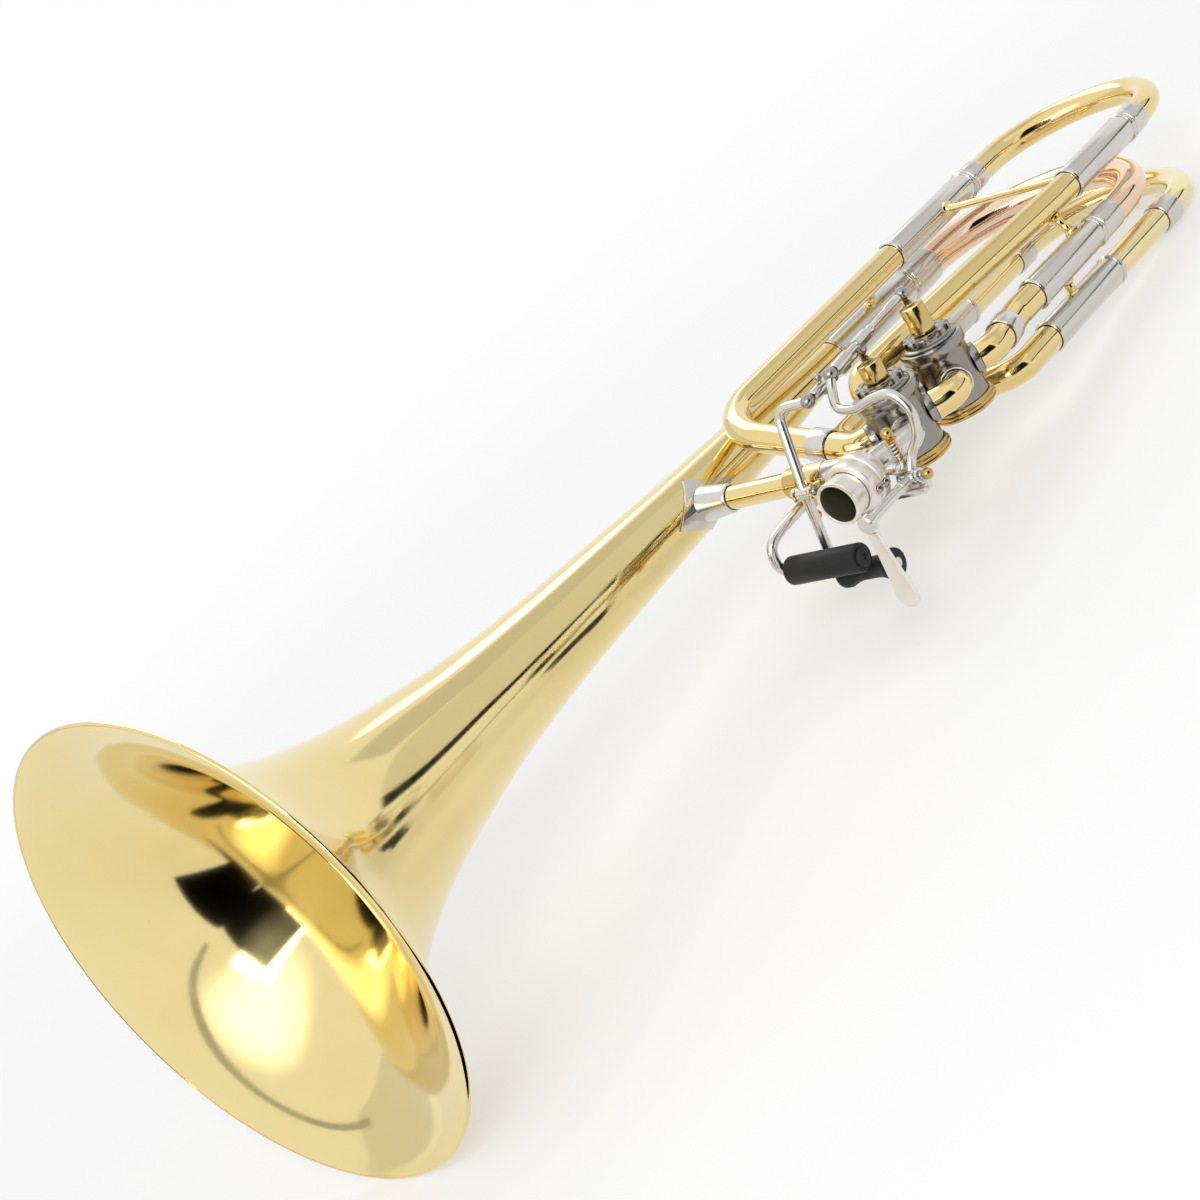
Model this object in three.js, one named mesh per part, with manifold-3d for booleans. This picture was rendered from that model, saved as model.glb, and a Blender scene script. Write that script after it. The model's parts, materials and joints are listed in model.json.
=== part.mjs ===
// Bell section of a bass trombone with two inline rotary valves, in millimetres.
// Horn frame: X runs from the bell axis to the neckpipe, Y from the bell rim to the tail, Z up through the valves.
import * as THREE from "three";
import { ConvexHull } from "three/addons/math/ConvexHull.js";
import { mergeVertices } from "three/addons/utils/BufferGeometryUtils.js";
import ManifoldModule from "manifold-3d";

// Bell
const bellDiameter = 254;
const bellLength = 510;
const bellWall = 0.8;
const bellTailBore = 19.7;
const rimBeadRadius = 1.6;
// Shares of the bell length, and of the way in from the rim radius to the tail radius.
const flareShares = [
  [0, 0], [0.006, 0.085], [0.02, 0.2], [0.045, 0.335], [0.085, 0.475], [0.135, 0.59], [0.2, 0.69],
  [0.28, 0.77], [0.36, 0.83], [0.47, 0.878], [0.72, 0.94], [0.85, 0.962], [0.982, 1], [1, 1],
];

// Tubes and slides
const tubeBore = 14.3;
const tubeWall = 0.45;
const sleeveWall = 0.5;
const slideClearance = 0.3;
const seatGap = 0.3;
const slideBeadHeight = 0.7;
const slideBeadLength = 3.2;
const ferruleWall = 0.8;
const ferruleShoulder = 3;
const ferruleChamfer = 0.6;
const bandLength = 12;
const linkBandLength = 4.2;

// Main tuning slide
const neckpipeOffset = 134;
const neckSleeveLead = 5;
const neckSleeveStart = bellLength + neckSleeveLead;
const mainSleeveLength = 68;
const bellSleeveOverlap = 6;
const mainFerruleLength = 20;
const mainInsertLength = 58;
const bellFerruleLength = 26;

// Valves
const valveOffset = 123.5;
const valveSetback = 114;
const valveSpacing = 46;
const valveOnePlace = bellLength - valveSetback;
const valveTwoPlace = valveOnePlace + valveSpacing;
const rotorRadius = 13.5;
const rotorHeight = 30;
const rotorClearance = 0.35;
const casingWall = 1.5;
const casingHeight = 35;
const casingFlangeRadius = 17;
const casingFlangeHeight = 3;
const casingFlangeTaper = 2.5;
const portBossReach = 2.2;
const portBossWall = 0.9;
const passageWeb = 0.8;
const plateHeight = 5;
const plateRadius = 12.6;
const plateNotches = 8;
const plateNotchRadius = 1.1;
const spindleRadius = 3;
const hubRadius = 6.4;
const hubHeight = 10;
const hubTwoLift = 5;
const stopArmLength = 15;
const stopArmThickness = 3;
const stopArmWidth = 6.4;
const stopArmEndShare = 0.6;
const stopArmRestAngle = 135;
const linkBallRadius = 3.6;
const linkBallRise = 3.4;
const capRadius = 17.4;
const capHeight = 7;
const capCrown = 2.4;
const capGrooveDepth = 0.7;
const knuckleRadius = 8.3;
const knuckleReach = 7.8;

// First valve loop
const loopOneHeight = 24;
const loopOneOutOffset = 16;
const loopOneBackOffset = 122;
const loopOneOutLead = 58;
const loopOneOutSleeveStart = bellLength + loopOneOutLead;
const loopOneOutSleeveLength = 84;
const loopOneBackLead = 87;
const loopOneBackSleeveStart = bellLength + loopOneBackLead;
const loopOneBackSleeveLength = 66;
const loopOneFerruleLength = 14;
const loopOneInsertLength = 56;
const bowSetback = 10;
const bowPlace = valveOnePlace - bowSetback;
const bowRadius = 37;
const knuckleFerruleStart = 14;
const returnElbowOffset = 93;
const returnElbowLead = 13;
const returnElbowPlace = valveOnePlace + returnElbowLead;
const returnElbowHeight = 19;
const returnElbowRadius = 10.5;

// Second valve loop
const loopTwoDrop = -23.5;
const loopTwoNearOffset = 133;
const loopTwoFarOffset = 32;
const loopTwoNearLead = 2;
const loopTwoSleeveStart = bellLength + loopTwoNearLead;
const loopTwoSleeveLength = 72;
const loopTwoFarOverlap = 5;
const loopTwoFarSleeveStart = bellLength - loopTwoFarOverlap;
const loopTwoFarSleeveLength = 79;
const loopTwoCapLength = 14;
const loopTwoPulled = 46;
const loopTwoInsertLength = 62;
const loopTwoFerruleLength = 15;
const loopTwoBendOffset = 98;
const loopTwoBendLead = 38;
const loopTwoBendPlace = valveTwoPlace + loopTwoBendLead;
const loopTwoBendRadius = 14;

// Hand slide receiver and the brace to the bell
const receiverSetback = 76;
const receiverPlace = valveOnePlace - receiverSetback;
const receiverLength = 25;
const receiverRadius = 10.9;
const receiverWall = 1.2;
const receiverRimRadius = 11.7;
const receiverRimLength = 3;
const collarRadius = 14.2;
const collarLength = 15;
const collarLead = 11;
const collarPlace = receiverPlace + collarLead;
const collarGroove = 0.8;
const gooseneckLead = 33;
const gooseneckBend = receiverPlace + gooseneckLead;
const gooseneckCorner = 9;
const braceSetback = 41;
const bracePlace = valveOnePlace - braceSetback;
const braceRadius = 6.2;
const braceWall = 0.9;
const braceConeLength = 19;
const braceConeRadius = 9.6;
const braceBandLength = 22;
const braceBandRadius = 7.6;
const braceSaddleWidth = 15;
const bracePlateLength = 52;
const bracePlateWidth = 30;
const bracePlateThickness = 0.9;

// Levers, link rods and hand rest
const wireRadius = 2.5;
const pivotBarrelRadius = 3.6;
const pivotBarrelLength = 8;
const pivotPinRadius = 1.4;
const pivotClearance = 0.3;
const bracketEar = 2.2;
const linkGap = 0.6;
const rodRadius = 1.9;
const rodBarRadius = 3;
const rodHexRadius = 3.3;
const leverOneOffset = 97.5;
const leverOneSetback = 14;
const leverOnePivot = new THREE.Vector3(leverOneOffset, bracePlace - leverOneSetback, 0);
const leverTwoOffset = 157;
const leverTwoLead = 17;
const leverTwoDrop = 7;
const leverTwoPivot = new THREE.Vector3(leverTwoOffset, collarPlace + leverTwoLead, -leverTwoDrop);
const leverOneLean = 17;
const leverTwoLean = 24;
const leverOneBendInset = 6;
const leverTwoBallOffset = 121;
// Shares, per axis, of the way from the second lever's pivot to its ball.
const leverTwoRouteShares = [
  [1, 1, 1], [0.986, 0.79, 0.87], [0.89, 0.54, 0.75], [0.555, 0.42, 0.71], [0.19, 0.4, 0.77], [-0.14, 0.4, 0.77],
  [-0.32, 0.375, 0.57], [-0.24, 0.33, 0.33], [-0.07, 0.2, 0.17], [0, 0, 0],
];
const handRestBulge = 5;
// Shares of the bulge sideways, and of the way from the clamp to the grip in Y and Z.
const handRestRouteShares = [
  [0, 0, 0], [0, 0.25, 0], [0.9, 0.97, 0.25], [1, 1.06, 0.72], [0.45, 1, 1], [-1, 1, 1],
];
const gripRadius = 7.2;
const gripLength = 46;
const spoolRadius = 7.6;
const spoolWaist = 5.4;
const spoolLength = 34;
const gripBore = 2.9;
const gripOffset = 106;
const gripSetback = 33;
const gripDrop = 30;
const handRestGrip = new THREE.Vector3(gripOffset, bracePlace - gripSetback, -gripDrop);
const spoolOffset = 117;
const spoolSetback = 6;
const spoolDrop = 43;
const spoolPlace = new THREE.Vector3(spoolOffset, leverOnePivot.y - spoolSetback, -spoolDrop);
const paddleLength = 41;
const paddleWidth = 12;
const paddleNeck = 6;
const paddleThickness = 2.2;
const paddleDiscRadius = 4.6;
const paddleReach = 40;

// Braces between the loops
const strutRadius = 2.2;
const strutFlange = 4.6;
const smallBraceRadius = 2.4;
const neckBraceLead = 57;
const loopTwoBraceLead = 30;
const bellBraceLead = 35;
const neckBracePlace = neckSleeveStart + neckBraceLead;
const loopTwoBracePlace = neckSleeveStart + loopTwoBraceLead;
const bellBracePlace = bellLength + bellBraceLead;
const handRestClamp = 83;
const clampWall = 1.2;
const clampLength = 9;
const thumbscrewRadius = 1.7;
const thumbscrewBall = 3.8;
const thumbscrewLength = 15;
const thumbscrewOffset = 152;
const thumbscrewLead = 22;
const thumbscrewPlace = new THREE.Vector3(thumbscrewOffset, collarPlace + thumbscrewLead, 0);
const springWire = 0.45;
const springRadius = 2.9;
const springTurns = 4;
const springLength = 7.6;

// Faceting
const tubeSides = 10;
const bendStep = THREE.MathUtils.degToRad(31);
const bellSides = 28;
const roundSides = 16;
const sleeveSides = 14;
const wireSides = 8;
const leverTwoSteps = 16;
const handRestSteps = 13;
const springSides = 5;
const springSteps = 8;
const cutOverrun = 1;
const restSteepest = -0.9;

const tubeRadius = tubeBore / 2 + tubeWall;
const boreRadius = tubeBore / 2;
const sleeveBore = tubeRadius + slideClearance;
const sleeveRadius = sleeveBore + sleeveWall;
const casingBore = rotorRadius + rotorClearance;
const casingRadius = casingBore + casingWall;
const bossEnd = casingRadius + portBossReach;
const knuckleStart = bossEnd + seatGap;
const bellTailRadius = bellTailBore / 2 + tubeWall;

const { Manifold, Mesh: ManifoldMesh } = await loadManifold();

async function loadManifold() {
  const wasm = await ManifoldModule();
  wasm.setup();
  return wasm;
}

const finish = {
  brass: new THREE.MeshStandardMaterial({ color: 0xd9b75a, roughness: 0.16, metalness: 1 }),
  paleBrass: new THREE.MeshStandardMaterial({ color: 0xe3cf8a, roughness: 0.18, metalness: 1 }),
  roseBrass: new THREE.MeshStandardMaterial({ color: 0xd79a6c, roughness: 0.16, metalness: 1 }),
  goldBrass: new THREE.MeshStandardMaterial({ color: 0xb98f35, roughness: 0.2, metalness: 1 }),
  nickel: new THREE.MeshStandardMaterial({ color: 0xc9c4bb, roughness: 0.18, metalness: 1 }),
  satinNickel: new THREE.MeshStandardMaterial({ color: 0x9b9892, roughness: 0.32, metalness: 1 }),
  rotorMetal: new THREE.MeshStandardMaterial({ color: 0xa8a29a, roughness: 0.3, metalness: 1 }),
  blackGrip: new THREE.MeshStandardMaterial({ color: 0x17181a, roughness: 0.45, metalness: 0 }),
};

// Shape tools

// Turns a geometry's faces outward and leaves only its positions, welded.
function outward(geometry) {
  const bare = new THREE.BufferGeometry();
  bare.setAttribute("position", geometry.getAttribute("position").clone());
  if (geometry.index) bare.setIndex(geometry.index.clone());
  const welded = mergeVertices(bare, 1e-4);
  const place = welded.getAttribute("position");
  const index = Array.from(welded.index.array);
  const kept = [];
  const a = new THREE.Vector3();
  const b = new THREE.Vector3();
  const c = new THREE.Vector3();
  let volume = 0;
  for (let i = 0; i < index.length; i += 3) {
    const [i0, i1, i2] = [index[i], index[i + 1], index[i + 2]];
    if (i0 === i1 || i1 === i2 || i2 === i0) continue;
    a.fromBufferAttribute(place, i0);
    b.fromBufferAttribute(place, i1);
    c.fromBufferAttribute(place, i2);
    volume += a.dot(b.clone().cross(c));
    kept.push(i0, i1, i2);
  }
  if (volume < 0) for (let i = 0; i < kept.length; i += 3) [kept[i], kept[i + 1]] = [kept[i + 1], kept[i]];
  welded.setIndex(kept);
  return welded;
}

function toSolid(geometry) {
  const ready = outward(geometry);
  return new Manifold(new ManifoldMesh({
    numProp: 3,
    vertProperties: new Float32Array(ready.getAttribute("position").array),
    triVerts: new Uint32Array(ready.index.array),
  }));
}

function toGeometry(solid) {
  const mesh = solid.getMesh();
  const geometry = new THREE.BufferGeometry();
  geometry.setAttribute("position", new THREE.BufferAttribute(new Float32Array(mesh.vertProperties), mesh.numProp));
  geometry.setIndex(Array.from(mesh.triVerts));
  return geometry;
}

function join(...geometries) {
  return toGeometry(geometries.map(toSolid).reduce((whole, piece) => whole.add(piece)));
}

function cut(geometry, ...cutters) {
  return toGeometry(cutters.map(toSolid).reduce((whole, piece) => whole.subtract(piece), toSolid(geometry)));
}

// A round profile of [radius, height] points turned about Y; a closed profile gives a ring.
function turned(points, sides = tubeSides) {
  return outward(new THREE.LatheGeometry(points.map(([radius, height]) => new THREE.Vector2(radius, height)), sides));
}

// A ring profile about Y between two heights, with an outer line and an inner line of [radius, height] points.
function ringProfile(outer, inner, sides = tubeSides) {
  const line = [...outer, ...[...inner].reverse()];
  return turned([...line, line[0]], sides);
}

function cylinder(radius, length, sides = tubeSides) {
  return new THREE.CylinderGeometry(radius, radius, length, sides);
}

// A cylinder from one point to another, with a radius at each end.
function rodBetween(start, end, startRadius, endRadius = startRadius, sides = tubeSides) {
  const along = end.clone().sub(start);
  const geometry = new THREE.CylinderGeometry(endRadius, startRadius, along.length(), sides);
  const turn = new THREE.Quaternion().setFromUnitVectors(new THREE.Vector3(0, 1, 0), along.clone().normalize());
  return geometry.applyQuaternion(turn).translate(...start.clone().add(end).multiplyScalar(0.5).toArray());
}

function ball(centre, radius, sides = tubeSides) {
  return new THREE.SphereGeometry(radius, sides, sides / 2).rotateX(Math.PI / 2).translate(...centre.toArray());
}

function box(width, depth, height, centre) {
  return new THREE.BoxGeometry(width, depth, height).translate(...centre.toArray());
}

function vec(x, y, z) {
  return new THREE.Vector3(x, y, z);
}

// A path of straight runs with round corners, given as stations of place and heading.
function filletStations(points, radii) {
  const stations = [];
  const put = (place, heading) => stations.push({ place, heading: heading.clone().normalize() });
  put(points[0], points[1].clone().sub(points[0]));
  for (let i = 1; i < points.length - 1; i++) {
    const radius = Array.isArray(radii) ? radii[i - 1] : radii;
    const before = points[i].clone().sub(points[i - 1]).normalize();
    const after = points[i + 1].clone().sub(points[i]).normalize();
    const turn = before.angleTo(after);
    const axis = before.clone().cross(after).normalize();
    const start = points[i].clone().addScaledVector(before, -radius * Math.tan(turn / 2));
    const inwardWay = axis.clone().cross(before);
    const centre = start.clone().addScaledVector(inwardWay, radius);
    const steps = Math.max(2, Math.ceil(turn / bendStep));
    for (let step = 0; step <= steps; step++) {
      const angle = (turn * step) / steps;
      const spoke = start.clone().sub(centre).applyAxisAngle(axis, angle);
      put(centre.clone().add(spoke), before.clone().applyAxisAngle(axis, angle));
    }
  }
  put(points.at(-1), points.at(-1).clone().sub(points.at(-2)));
  return stations.filter((item, i) => i === 0 || item.place.distanceTo(stations[i - 1].place) > seatGap / 10);
}

// A smooth curve through points, as stations.
function curveStations(points, steps) {
  const curve = new THREE.CatmullRomCurve3(points, false, "centripetal");
  return Array.from({ length: steps + 1 }, (_, i) => ({
    place: curve.getPointAt(i / steps),
    heading: curve.getTangentAt(i / steps).normalize(),
  }));
}

// A tube swept along stations. Radii may be numbers or functions of the share of the way along; no bore gives a bar.
function sweep(stations, outerRadius, innerRadius = 0, sides = tubeSides) {
  const outerAt = typeof outerRadius === "function" ? outerRadius : () => outerRadius;
  const innerAt = typeof innerRadius === "function" ? innerRadius : () => innerRadius;
  const hollow = innerAt(0) > 0;
  const shares = [0];
  for (let i = 1; i < stations.length; i++) {
    shares.push(shares[i - 1] + stations[i].place.distanceTo(stations[i - 1].place));
  }
  const whole = shares.at(-1);
  const first = stations[0].heading;
  let side = Math.abs(first.z) < 0.9 ? vec(0, 0, 1) : vec(1, 0, 0);
  side.sub(first.clone().multiplyScalar(side.dot(first))).normalize();
  const positions = [];
  stations.forEach((station, i) => {
    if (i > 0) {
      side.applyQuaternion(new THREE.Quaternion().setFromUnitVectors(stations[i - 1].heading, station.heading));
      side.sub(station.heading.clone().multiplyScalar(side.dot(station.heading))).normalize();
    }
    const across = station.heading.clone().cross(side);
    for (const radius of hollow ? [outerAt(shares[i] / whole), innerAt(shares[i] / whole)] : [outerAt(shares[i] / whole)]) {
      for (let k = 0; k < sides; k++) {
        const angle = (2 * Math.PI * k) / sides;
        const point = station.place.clone()
          .addScaledVector(side, radius * Math.cos(angle))
          .addScaledVector(across, radius * Math.sin(angle));
        positions.push(...point.toArray());
      }
    }
  });
  const index = [];
  const ring = hollow ? 2 * sides : sides;
  const quad = (a, b, c, d) => index.push(a, b, c, a, c, d);
  for (let i = 0; i < stations.length - 1; i++) {
    for (let k = 0; k < sides; k++) {
      const next = (k + 1) % sides;
      quad(i * ring + k, i * ring + next, (i + 1) * ring + next, (i + 1) * ring + k);
      if (hollow) {
        quad(i * ring + sides + next, i * ring + sides + k, (i + 1) * ring + sides + k, (i + 1) * ring + sides + next);
      }
    }
  }
  const last = (stations.length - 1) * ring;
  if (hollow) {
    for (let k = 0; k < sides; k++) {
      const next = (k + 1) % sides;
      quad(next, k, sides + k, sides + next);
      quad(last + k, last + next, last + sides + next, last + sides + k);
    }
  } else {
    for (let k = 1; k < sides - 1; k++) {
      index.push(0, k + 1, k);
      index.push(last, last + k, last + k + 1);
    }
  }
  const geometry = new THREE.BufferGeometry();
  geometry.setAttribute("position", new THREE.Float32BufferAttribute(positions, 3));
  geometry.setIndex(index);
  return outward(geometry);
}

function tube(points, radii, outerRadius = tubeRadius, innerRadius = boreRadius) {
  return sweep(filletStations(points, radii), outerRadius, innerRadius);
}

// Horn pieces

const horn = new THREE.Group();
horn.name = "horn";

function add(name, geometry, material, place = vec(0, 0, 0)) {
  const mesh = new THREE.Mesh(outward(geometry), material);
  mesh.name = name;
  mesh.position.copy(place);
  horn.add(mesh);
  return mesh;
}

// The radius of the bell's outside at a share of its length.
function flareRadius(share) {
  const rim = bellDiameter / 2;
  let i = 1;
  while (i < flareShares.length - 1 && flareShares[i][0] < share) i++;
  const [s0, v0] = flareShares[i - 1];
  const [s1, v1] = flareShares[i];
  const way = v0 + ((v1 - v0) * (share - s0)) / (s1 - s0);
  return rim + (bellTailRadius - rim) * way;
}

function buildBell() {
  const outside = flareShares.map(([share]) => [flareRadius(share), share * bellLength]);
  const tailWall = tubeWall;
  const inside = flareShares.map(([share], i) => {
    const [s0] = flareShares[Math.max(0, i - 1)];
    const [s1] = flareShares[Math.min(flareShares.length - 1, i + 1)];
    const run = (s1 - s0) * bellLength;
    const fall = flareRadius(s0) - flareRadius(s1);
    const slant = Math.hypot(run, fall);
    const wall = bellWall + (tailWall - bellWall) * share;
    if (i === 0) return [flareRadius(0) - wall, -rimBeadRadius / 4];
    return [flareRadius(share) - (wall * run) / slant, share * bellLength - (wall * fall) / slant];
  });
  inside[inside.length - 1] = [bellTailBore / 2, bellLength];
  const rim = bellDiameter / 2;
  const bead = [
    [rim - rimBeadRadius * 1.2, rimBeadRadius],
    [rim - rimBeadRadius / 2, rimBeadRadius * 1.3],
    [rim, rimBeadRadius / 3],
    [rim - rimBeadRadius / 3, -rimBeadRadius / 2],
  ];
  const profile = [...bead.slice().reverse(), ...outside.slice(1), ...inside.slice().reverse()];
  add("bell", turned([...profile, profile[0]], bellSides), finish.brass);
}

// An outer slide sleeve along Y with a rolled bead at each end.
function sleeveGeometry(length, bore, radius) {
  const crown = radius + slideBeadHeight;
  const bead = [[crown - slideBeadHeight / 3, 0], [crown, slideBeadLength / 2], [radius, slideBeadLength]];
  const mirrored = bead.map(([r, y]) => [r, length - y]).reverse();
  return ringProfile([...bead, ...mirrored], [[bore, 0], [bore, length]], sleeveSides);
}

// An inner slide tube below Y zero with the crook's ferrule above it.
function innerSlideGeometry(insert, ferruleLength, radius, bore) {
  const crookBore = radius + slideClearance;
  const ferrule = crookBore + ferruleWall;
  const outer = [
    [radius, -insert], [radius, seatGap], [ferrule - ferruleChamfer, seatGap], [ferrule, seatGap + ferruleChamfer],
    [ferrule, ferruleShoulder], [ferrule - ferruleWall / 3, ferruleShoulder + ferruleChamfer],
    [ferrule - ferruleWall / 3, ferruleLength - ferruleChamfer], [ferrule - ferruleWall / 2, ferruleLength],
  ];
  const inner = [[bore, -insert], [bore, ferruleShoulder], [crookBore, ferruleShoulder], [crookBore, ferruleLength]];
  return ringProfile(outer, inner);
}

// A plain band round a tube joint along Y, centred on zero.
function bandGeometry(length, radius = tubeRadius) {
  const bore = radius + slideClearance;
  const crown = bore + ferruleWall;
  const half = length / 2;
  return ringProfile(
    [[crown - ferruleWall / 2, -half], [crown, -half + ferruleChamfer], [crown, half - ferruleChamfer],
      [crown - ferruleWall / 2, half]],
    [[bore, -half], [bore, half]], sleeveSides,
  );
}

// Turns a geometry made along Y to a heading and sets it at a place.
function aim(geometry, place, heading) {
  const turn = new THREE.Quaternion().setFromUnitVectors(vec(0, 1, 0), heading.clone().normalize());
  return geometry.applyQuaternion(turn).translate(...place.toArray());
}

// A crook between two legs at one height, from seat to seat.
function crookStations(left, right, leftSeat, rightSeat, top, height) {
  const points = [vec(left, leftSeat, height), vec(left, top, height), vec(right, top, height),
    vec(right, rightSeat, height)];
  return filletStations(points, (right - left) / 2);
}

function buildMainSlide() {
  const bellSleeveBore = bellTailRadius + slideClearance;
  const bellSleeveRadius = bellSleeveBore + sleeveWall;
  const sleeveEnd = neckSleeveStart + mainSleeveLength;
  const bellSleeveStart = bellLength - bellSleeveOverlap;
  add("bell_slide_sleeve", sleeveGeometry(sleeveEnd - bellSleeveStart, bellSleeveBore, bellSleeveRadius),
    finish.nickel, vec(0, bellSleeveStart, 0));
  add("neck_slide_sleeve", sleeveGeometry(mainSleeveLength, sleeveBore, sleeveRadius), finish.nickel,
    vec(neckpipeOffset, neckSleeveStart, 0));
  add("main_inner_bell_side",
    innerSlideGeometry(mainInsertLength, bellFerruleLength, bellTailRadius, bellTailBore / 2),
    finish.nickel, vec(0, sleeveEnd, 0));
  add("main_inner_neck_side", innerSlideGeometry(mainInsertLength, mainFerruleLength, tubeRadius, boreRadius),
    finish.nickel, vec(neckpipeOffset, sleeveEnd, 0));
  const seat = sleeveEnd + ferruleShoulder + seatGap;
  const top = sleeveEnd + bellFerruleLength + neckpipeOffset / 2 + ferruleChamfer;
  const stations = crookStations(0, neckpipeOffset, seat, seat, top, 0);
  const outer = (share) => bellTailRadius + (tubeRadius - bellTailRadius) * share;
  add("main_crook", sweep(stations, outer, (share) => outer(share) - tubeWall), finish.roseBrass);
}

// Heading of a port: signs give the diagonal it leaves on.
function portWay(signX, signY) {
  return vec(signX, signY, 0).normalize();
}

function portPoint(place, signX, signY, reach) {
  return vec(valveOffset, place, 0).addScaledVector(portWay(signX, signY), reach);
}

const portSigns = [[1, 1], [1, -1], [-1, 1], [-1, -1]];

// A round body about Z made from a Y profile.
function upright(geometry) {
  return geometry.rotateX(Math.PI / 2);
}

function buildValve(number, place, hubLift, armAngle) {
  const prefix = `valve_${number}_`;
  const centre = vec(valveOffset, place, 0);
  const half = casingHeight / 2;
  const flangeTop = half + casingFlangeHeight / 2;
  const barrel = upright(turned([
    [0, -half], [casingRadius, -half], [casingRadius, half - casingFlangeHeight - casingFlangeTaper],
    [casingFlangeRadius, half - casingFlangeHeight], [casingFlangeRadius, flangeTop],
    [casingFlangeRadius - ferruleChamfer, flangeTop + ferruleChamfer], [0, flangeTop + ferruleChamfer],
  ], roundSides));
  const bossRadius = tubeRadius + portBossWall;
  const bosses = portSigns.map(([sx, sy]) =>
    rodBetween(portWay(sx, sy).multiplyScalar(casingBore), portWay(sx, sy).multiplyScalar(bossEnd), bossRadius));
  const bores = portSigns.map(([sx, sy]) => rodBetween(vec(0, 0, 0),
    portWay(sx, sy).multiplyScalar(bossEnd + cutOverrun), boreRadius));
  const inside = upright(cylinder(casingBore, casingHeight * 2, roundSides));
  const casing = cut(join(barrel, ...bosses), inside, ...bores);
  add(`${prefix}casing`, casing, finish.satinNickel, centre);

  // The rotor turns in the casing and holds two quarter-turn passages.
  const passageCentre = rotorRadius * Math.SQRT2;
  const passageRadius = passageCentre - rotorRadius - passageWeb / 2;
  const passage = (sign) => {
    const ends = [vec(-1, sign, 0), vec(1, sign, 0)].map((way) => way.normalize().multiplyScalar(rotorRadius * 1.1));
    return sweep(filletStations([ends[0], vec(0, 0, 0), ends[1]], rotorRadius), (share) =>
      passageRadius + (boreRadius - passageRadius) * Math.abs(2 * share - 1) ** 3);
  };
  const rotorHalf = rotorHeight / 2;
  const spindleTop = half + plateHeight + hubHeight / 2 + hubLift;
  const plug = upright(turned([
    [0, -rotorHalf], [rotorRadius, -rotorHalf], [rotorRadius, rotorHalf], [spindleRadius, rotorHalf],
    [spindleRadius, spindleTop], [0, spindleTop],
  ], roundSides));
  add(`${prefix}rotor`, cut(plug, passage(1), passage(-1)), finish.rotorMetal, centre);

  // The bearing plate closes the top, with notches round its rim and a hole for the spindle.
  const plateFoot = rotorHalf + seatGap;
  const rimFoot = flangeTop + ferruleChamfer + seatGap;
  const plateTop = rimFoot + plateHeight;
  const plate = upright(turned([
    [0, plateFoot], [casingBore - rotorClearance, plateFoot], [casingBore - rotorClearance, rimFoot],
    [casingBore + ferruleChamfer, rimFoot], [casingBore + ferruleChamfer, rimFoot + ferruleWall],
    [plateRadius, rimFoot + ferruleWall * 2],
    [plateRadius, plateTop - ferruleChamfer], [plateRadius - ferruleChamfer, plateTop], [0, plateTop],
  ], roundSides));
  const notches = Array.from({ length: plateNotches }, (_, i) => {
    const angle = (2 * Math.PI * i) / plateNotches;
    return upright(cylinder(plateNotchRadius, plateHeight, 4)).translate(
      plateRadius * Math.cos(angle), plateRadius * Math.sin(angle), plateTop);
  });
  const hole = upright(cylinder(spindleRadius + pivotClearance, casingHeight * 2, 16));
  add(`${prefix}top_plate`, cut(plate, hole, ...notches), finish.satinNickel, centre);

  // The hub sits on the spindle, with the stop arm and its ball.
  const hubFoot = plateTop + seatGap;
  const hubTop = hubFoot + hubHeight + hubLift;
  const angle = THREE.MathUtils.degToRad(armAngle);
  const armWay = vec(Math.cos(angle), Math.sin(angle), 0);
  const armEnd = armWay.clone().multiplyScalar(stopArmLength);
  const armShape = new THREE.Shape();
  const tip = (stopArmWidth / 2) * stopArmEndShare;
  armShape.moveTo(0, -stopArmWidth / 2);
  armShape.lineTo(stopArmLength, -tip - tip / 4);
  armShape.absarc(stopArmLength, 0, tip + tip / 4, -Math.PI / 2, Math.PI / 2, false);
  armShape.lineTo(0, stopArmWidth / 2);
  armShape.closePath();
  const arm = new THREE.ExtrudeGeometry(armShape, { depth: stopArmThickness, bevelEnabled: false, curveSegments: 4 })
    .rotateZ(angle).translate(0, 0, hubTop - stopArmThickness);
  const hub = upright(turned([
    [0, hubFoot], [hubRadius - ferruleChamfer, hubFoot], [hubRadius, hubFoot + ferruleChamfer],
    [hubRadius, hubTop - ferruleChamfer], [hubRadius - ferruleChamfer, hubTop], [0, hubTop],
  ], roundSides));
  const ballHeight = hubTop + linkBallRise;
  const stud = rodBetween(vec(armEnd.x, armEnd.y, hubTop - stopArmThickness), vec(armEnd.x, armEnd.y, ballHeight),
    pivotPinRadius, pivotPinRadius, 8);
  const linkBall = ball(vec(armEnd.x, armEnd.y, ballHeight), linkBallRadius);
  const socket = upright(cylinder(spindleRadius + slideClearance, (spindleTop - hubFoot + seatGap) * 2, 16))
    .translate(0, 0, hubFoot);
  add(`${prefix}stop_arm`, cut(join(hub, arm, stud, linkBall), socket), finish.brass, centre);

  // The screw cap closes the bottom.
  const capTop = -half + ferruleShoulder;
  const capFoot = -half - seatGap - capHeight / 2;
  const cap = upright(turned([
    [0, capFoot], [capRadius * 0.7, capFoot], [capRadius - capGrooveDepth, capFoot + capCrown / 2],
    [capRadius, capFoot + capCrown], [capRadius - capGrooveDepth, capFoot + capCrown + capGrooveDepth],
    [capRadius, capFoot + capCrown + capGrooveDepth * 2], [capRadius - capGrooveDepth, capTop],
    [casingRadius + seatGap, capTop], [casingRadius + seatGap, -half - seatGap], [0, -half - seatGap],
  ], roundSides));
  add(`${prefix}cap`, cap, finish.goldBrass, centre);
  return { ball: vec(valveOffset, place, ballHeight).add(armEnd), hubTop };
}

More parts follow.
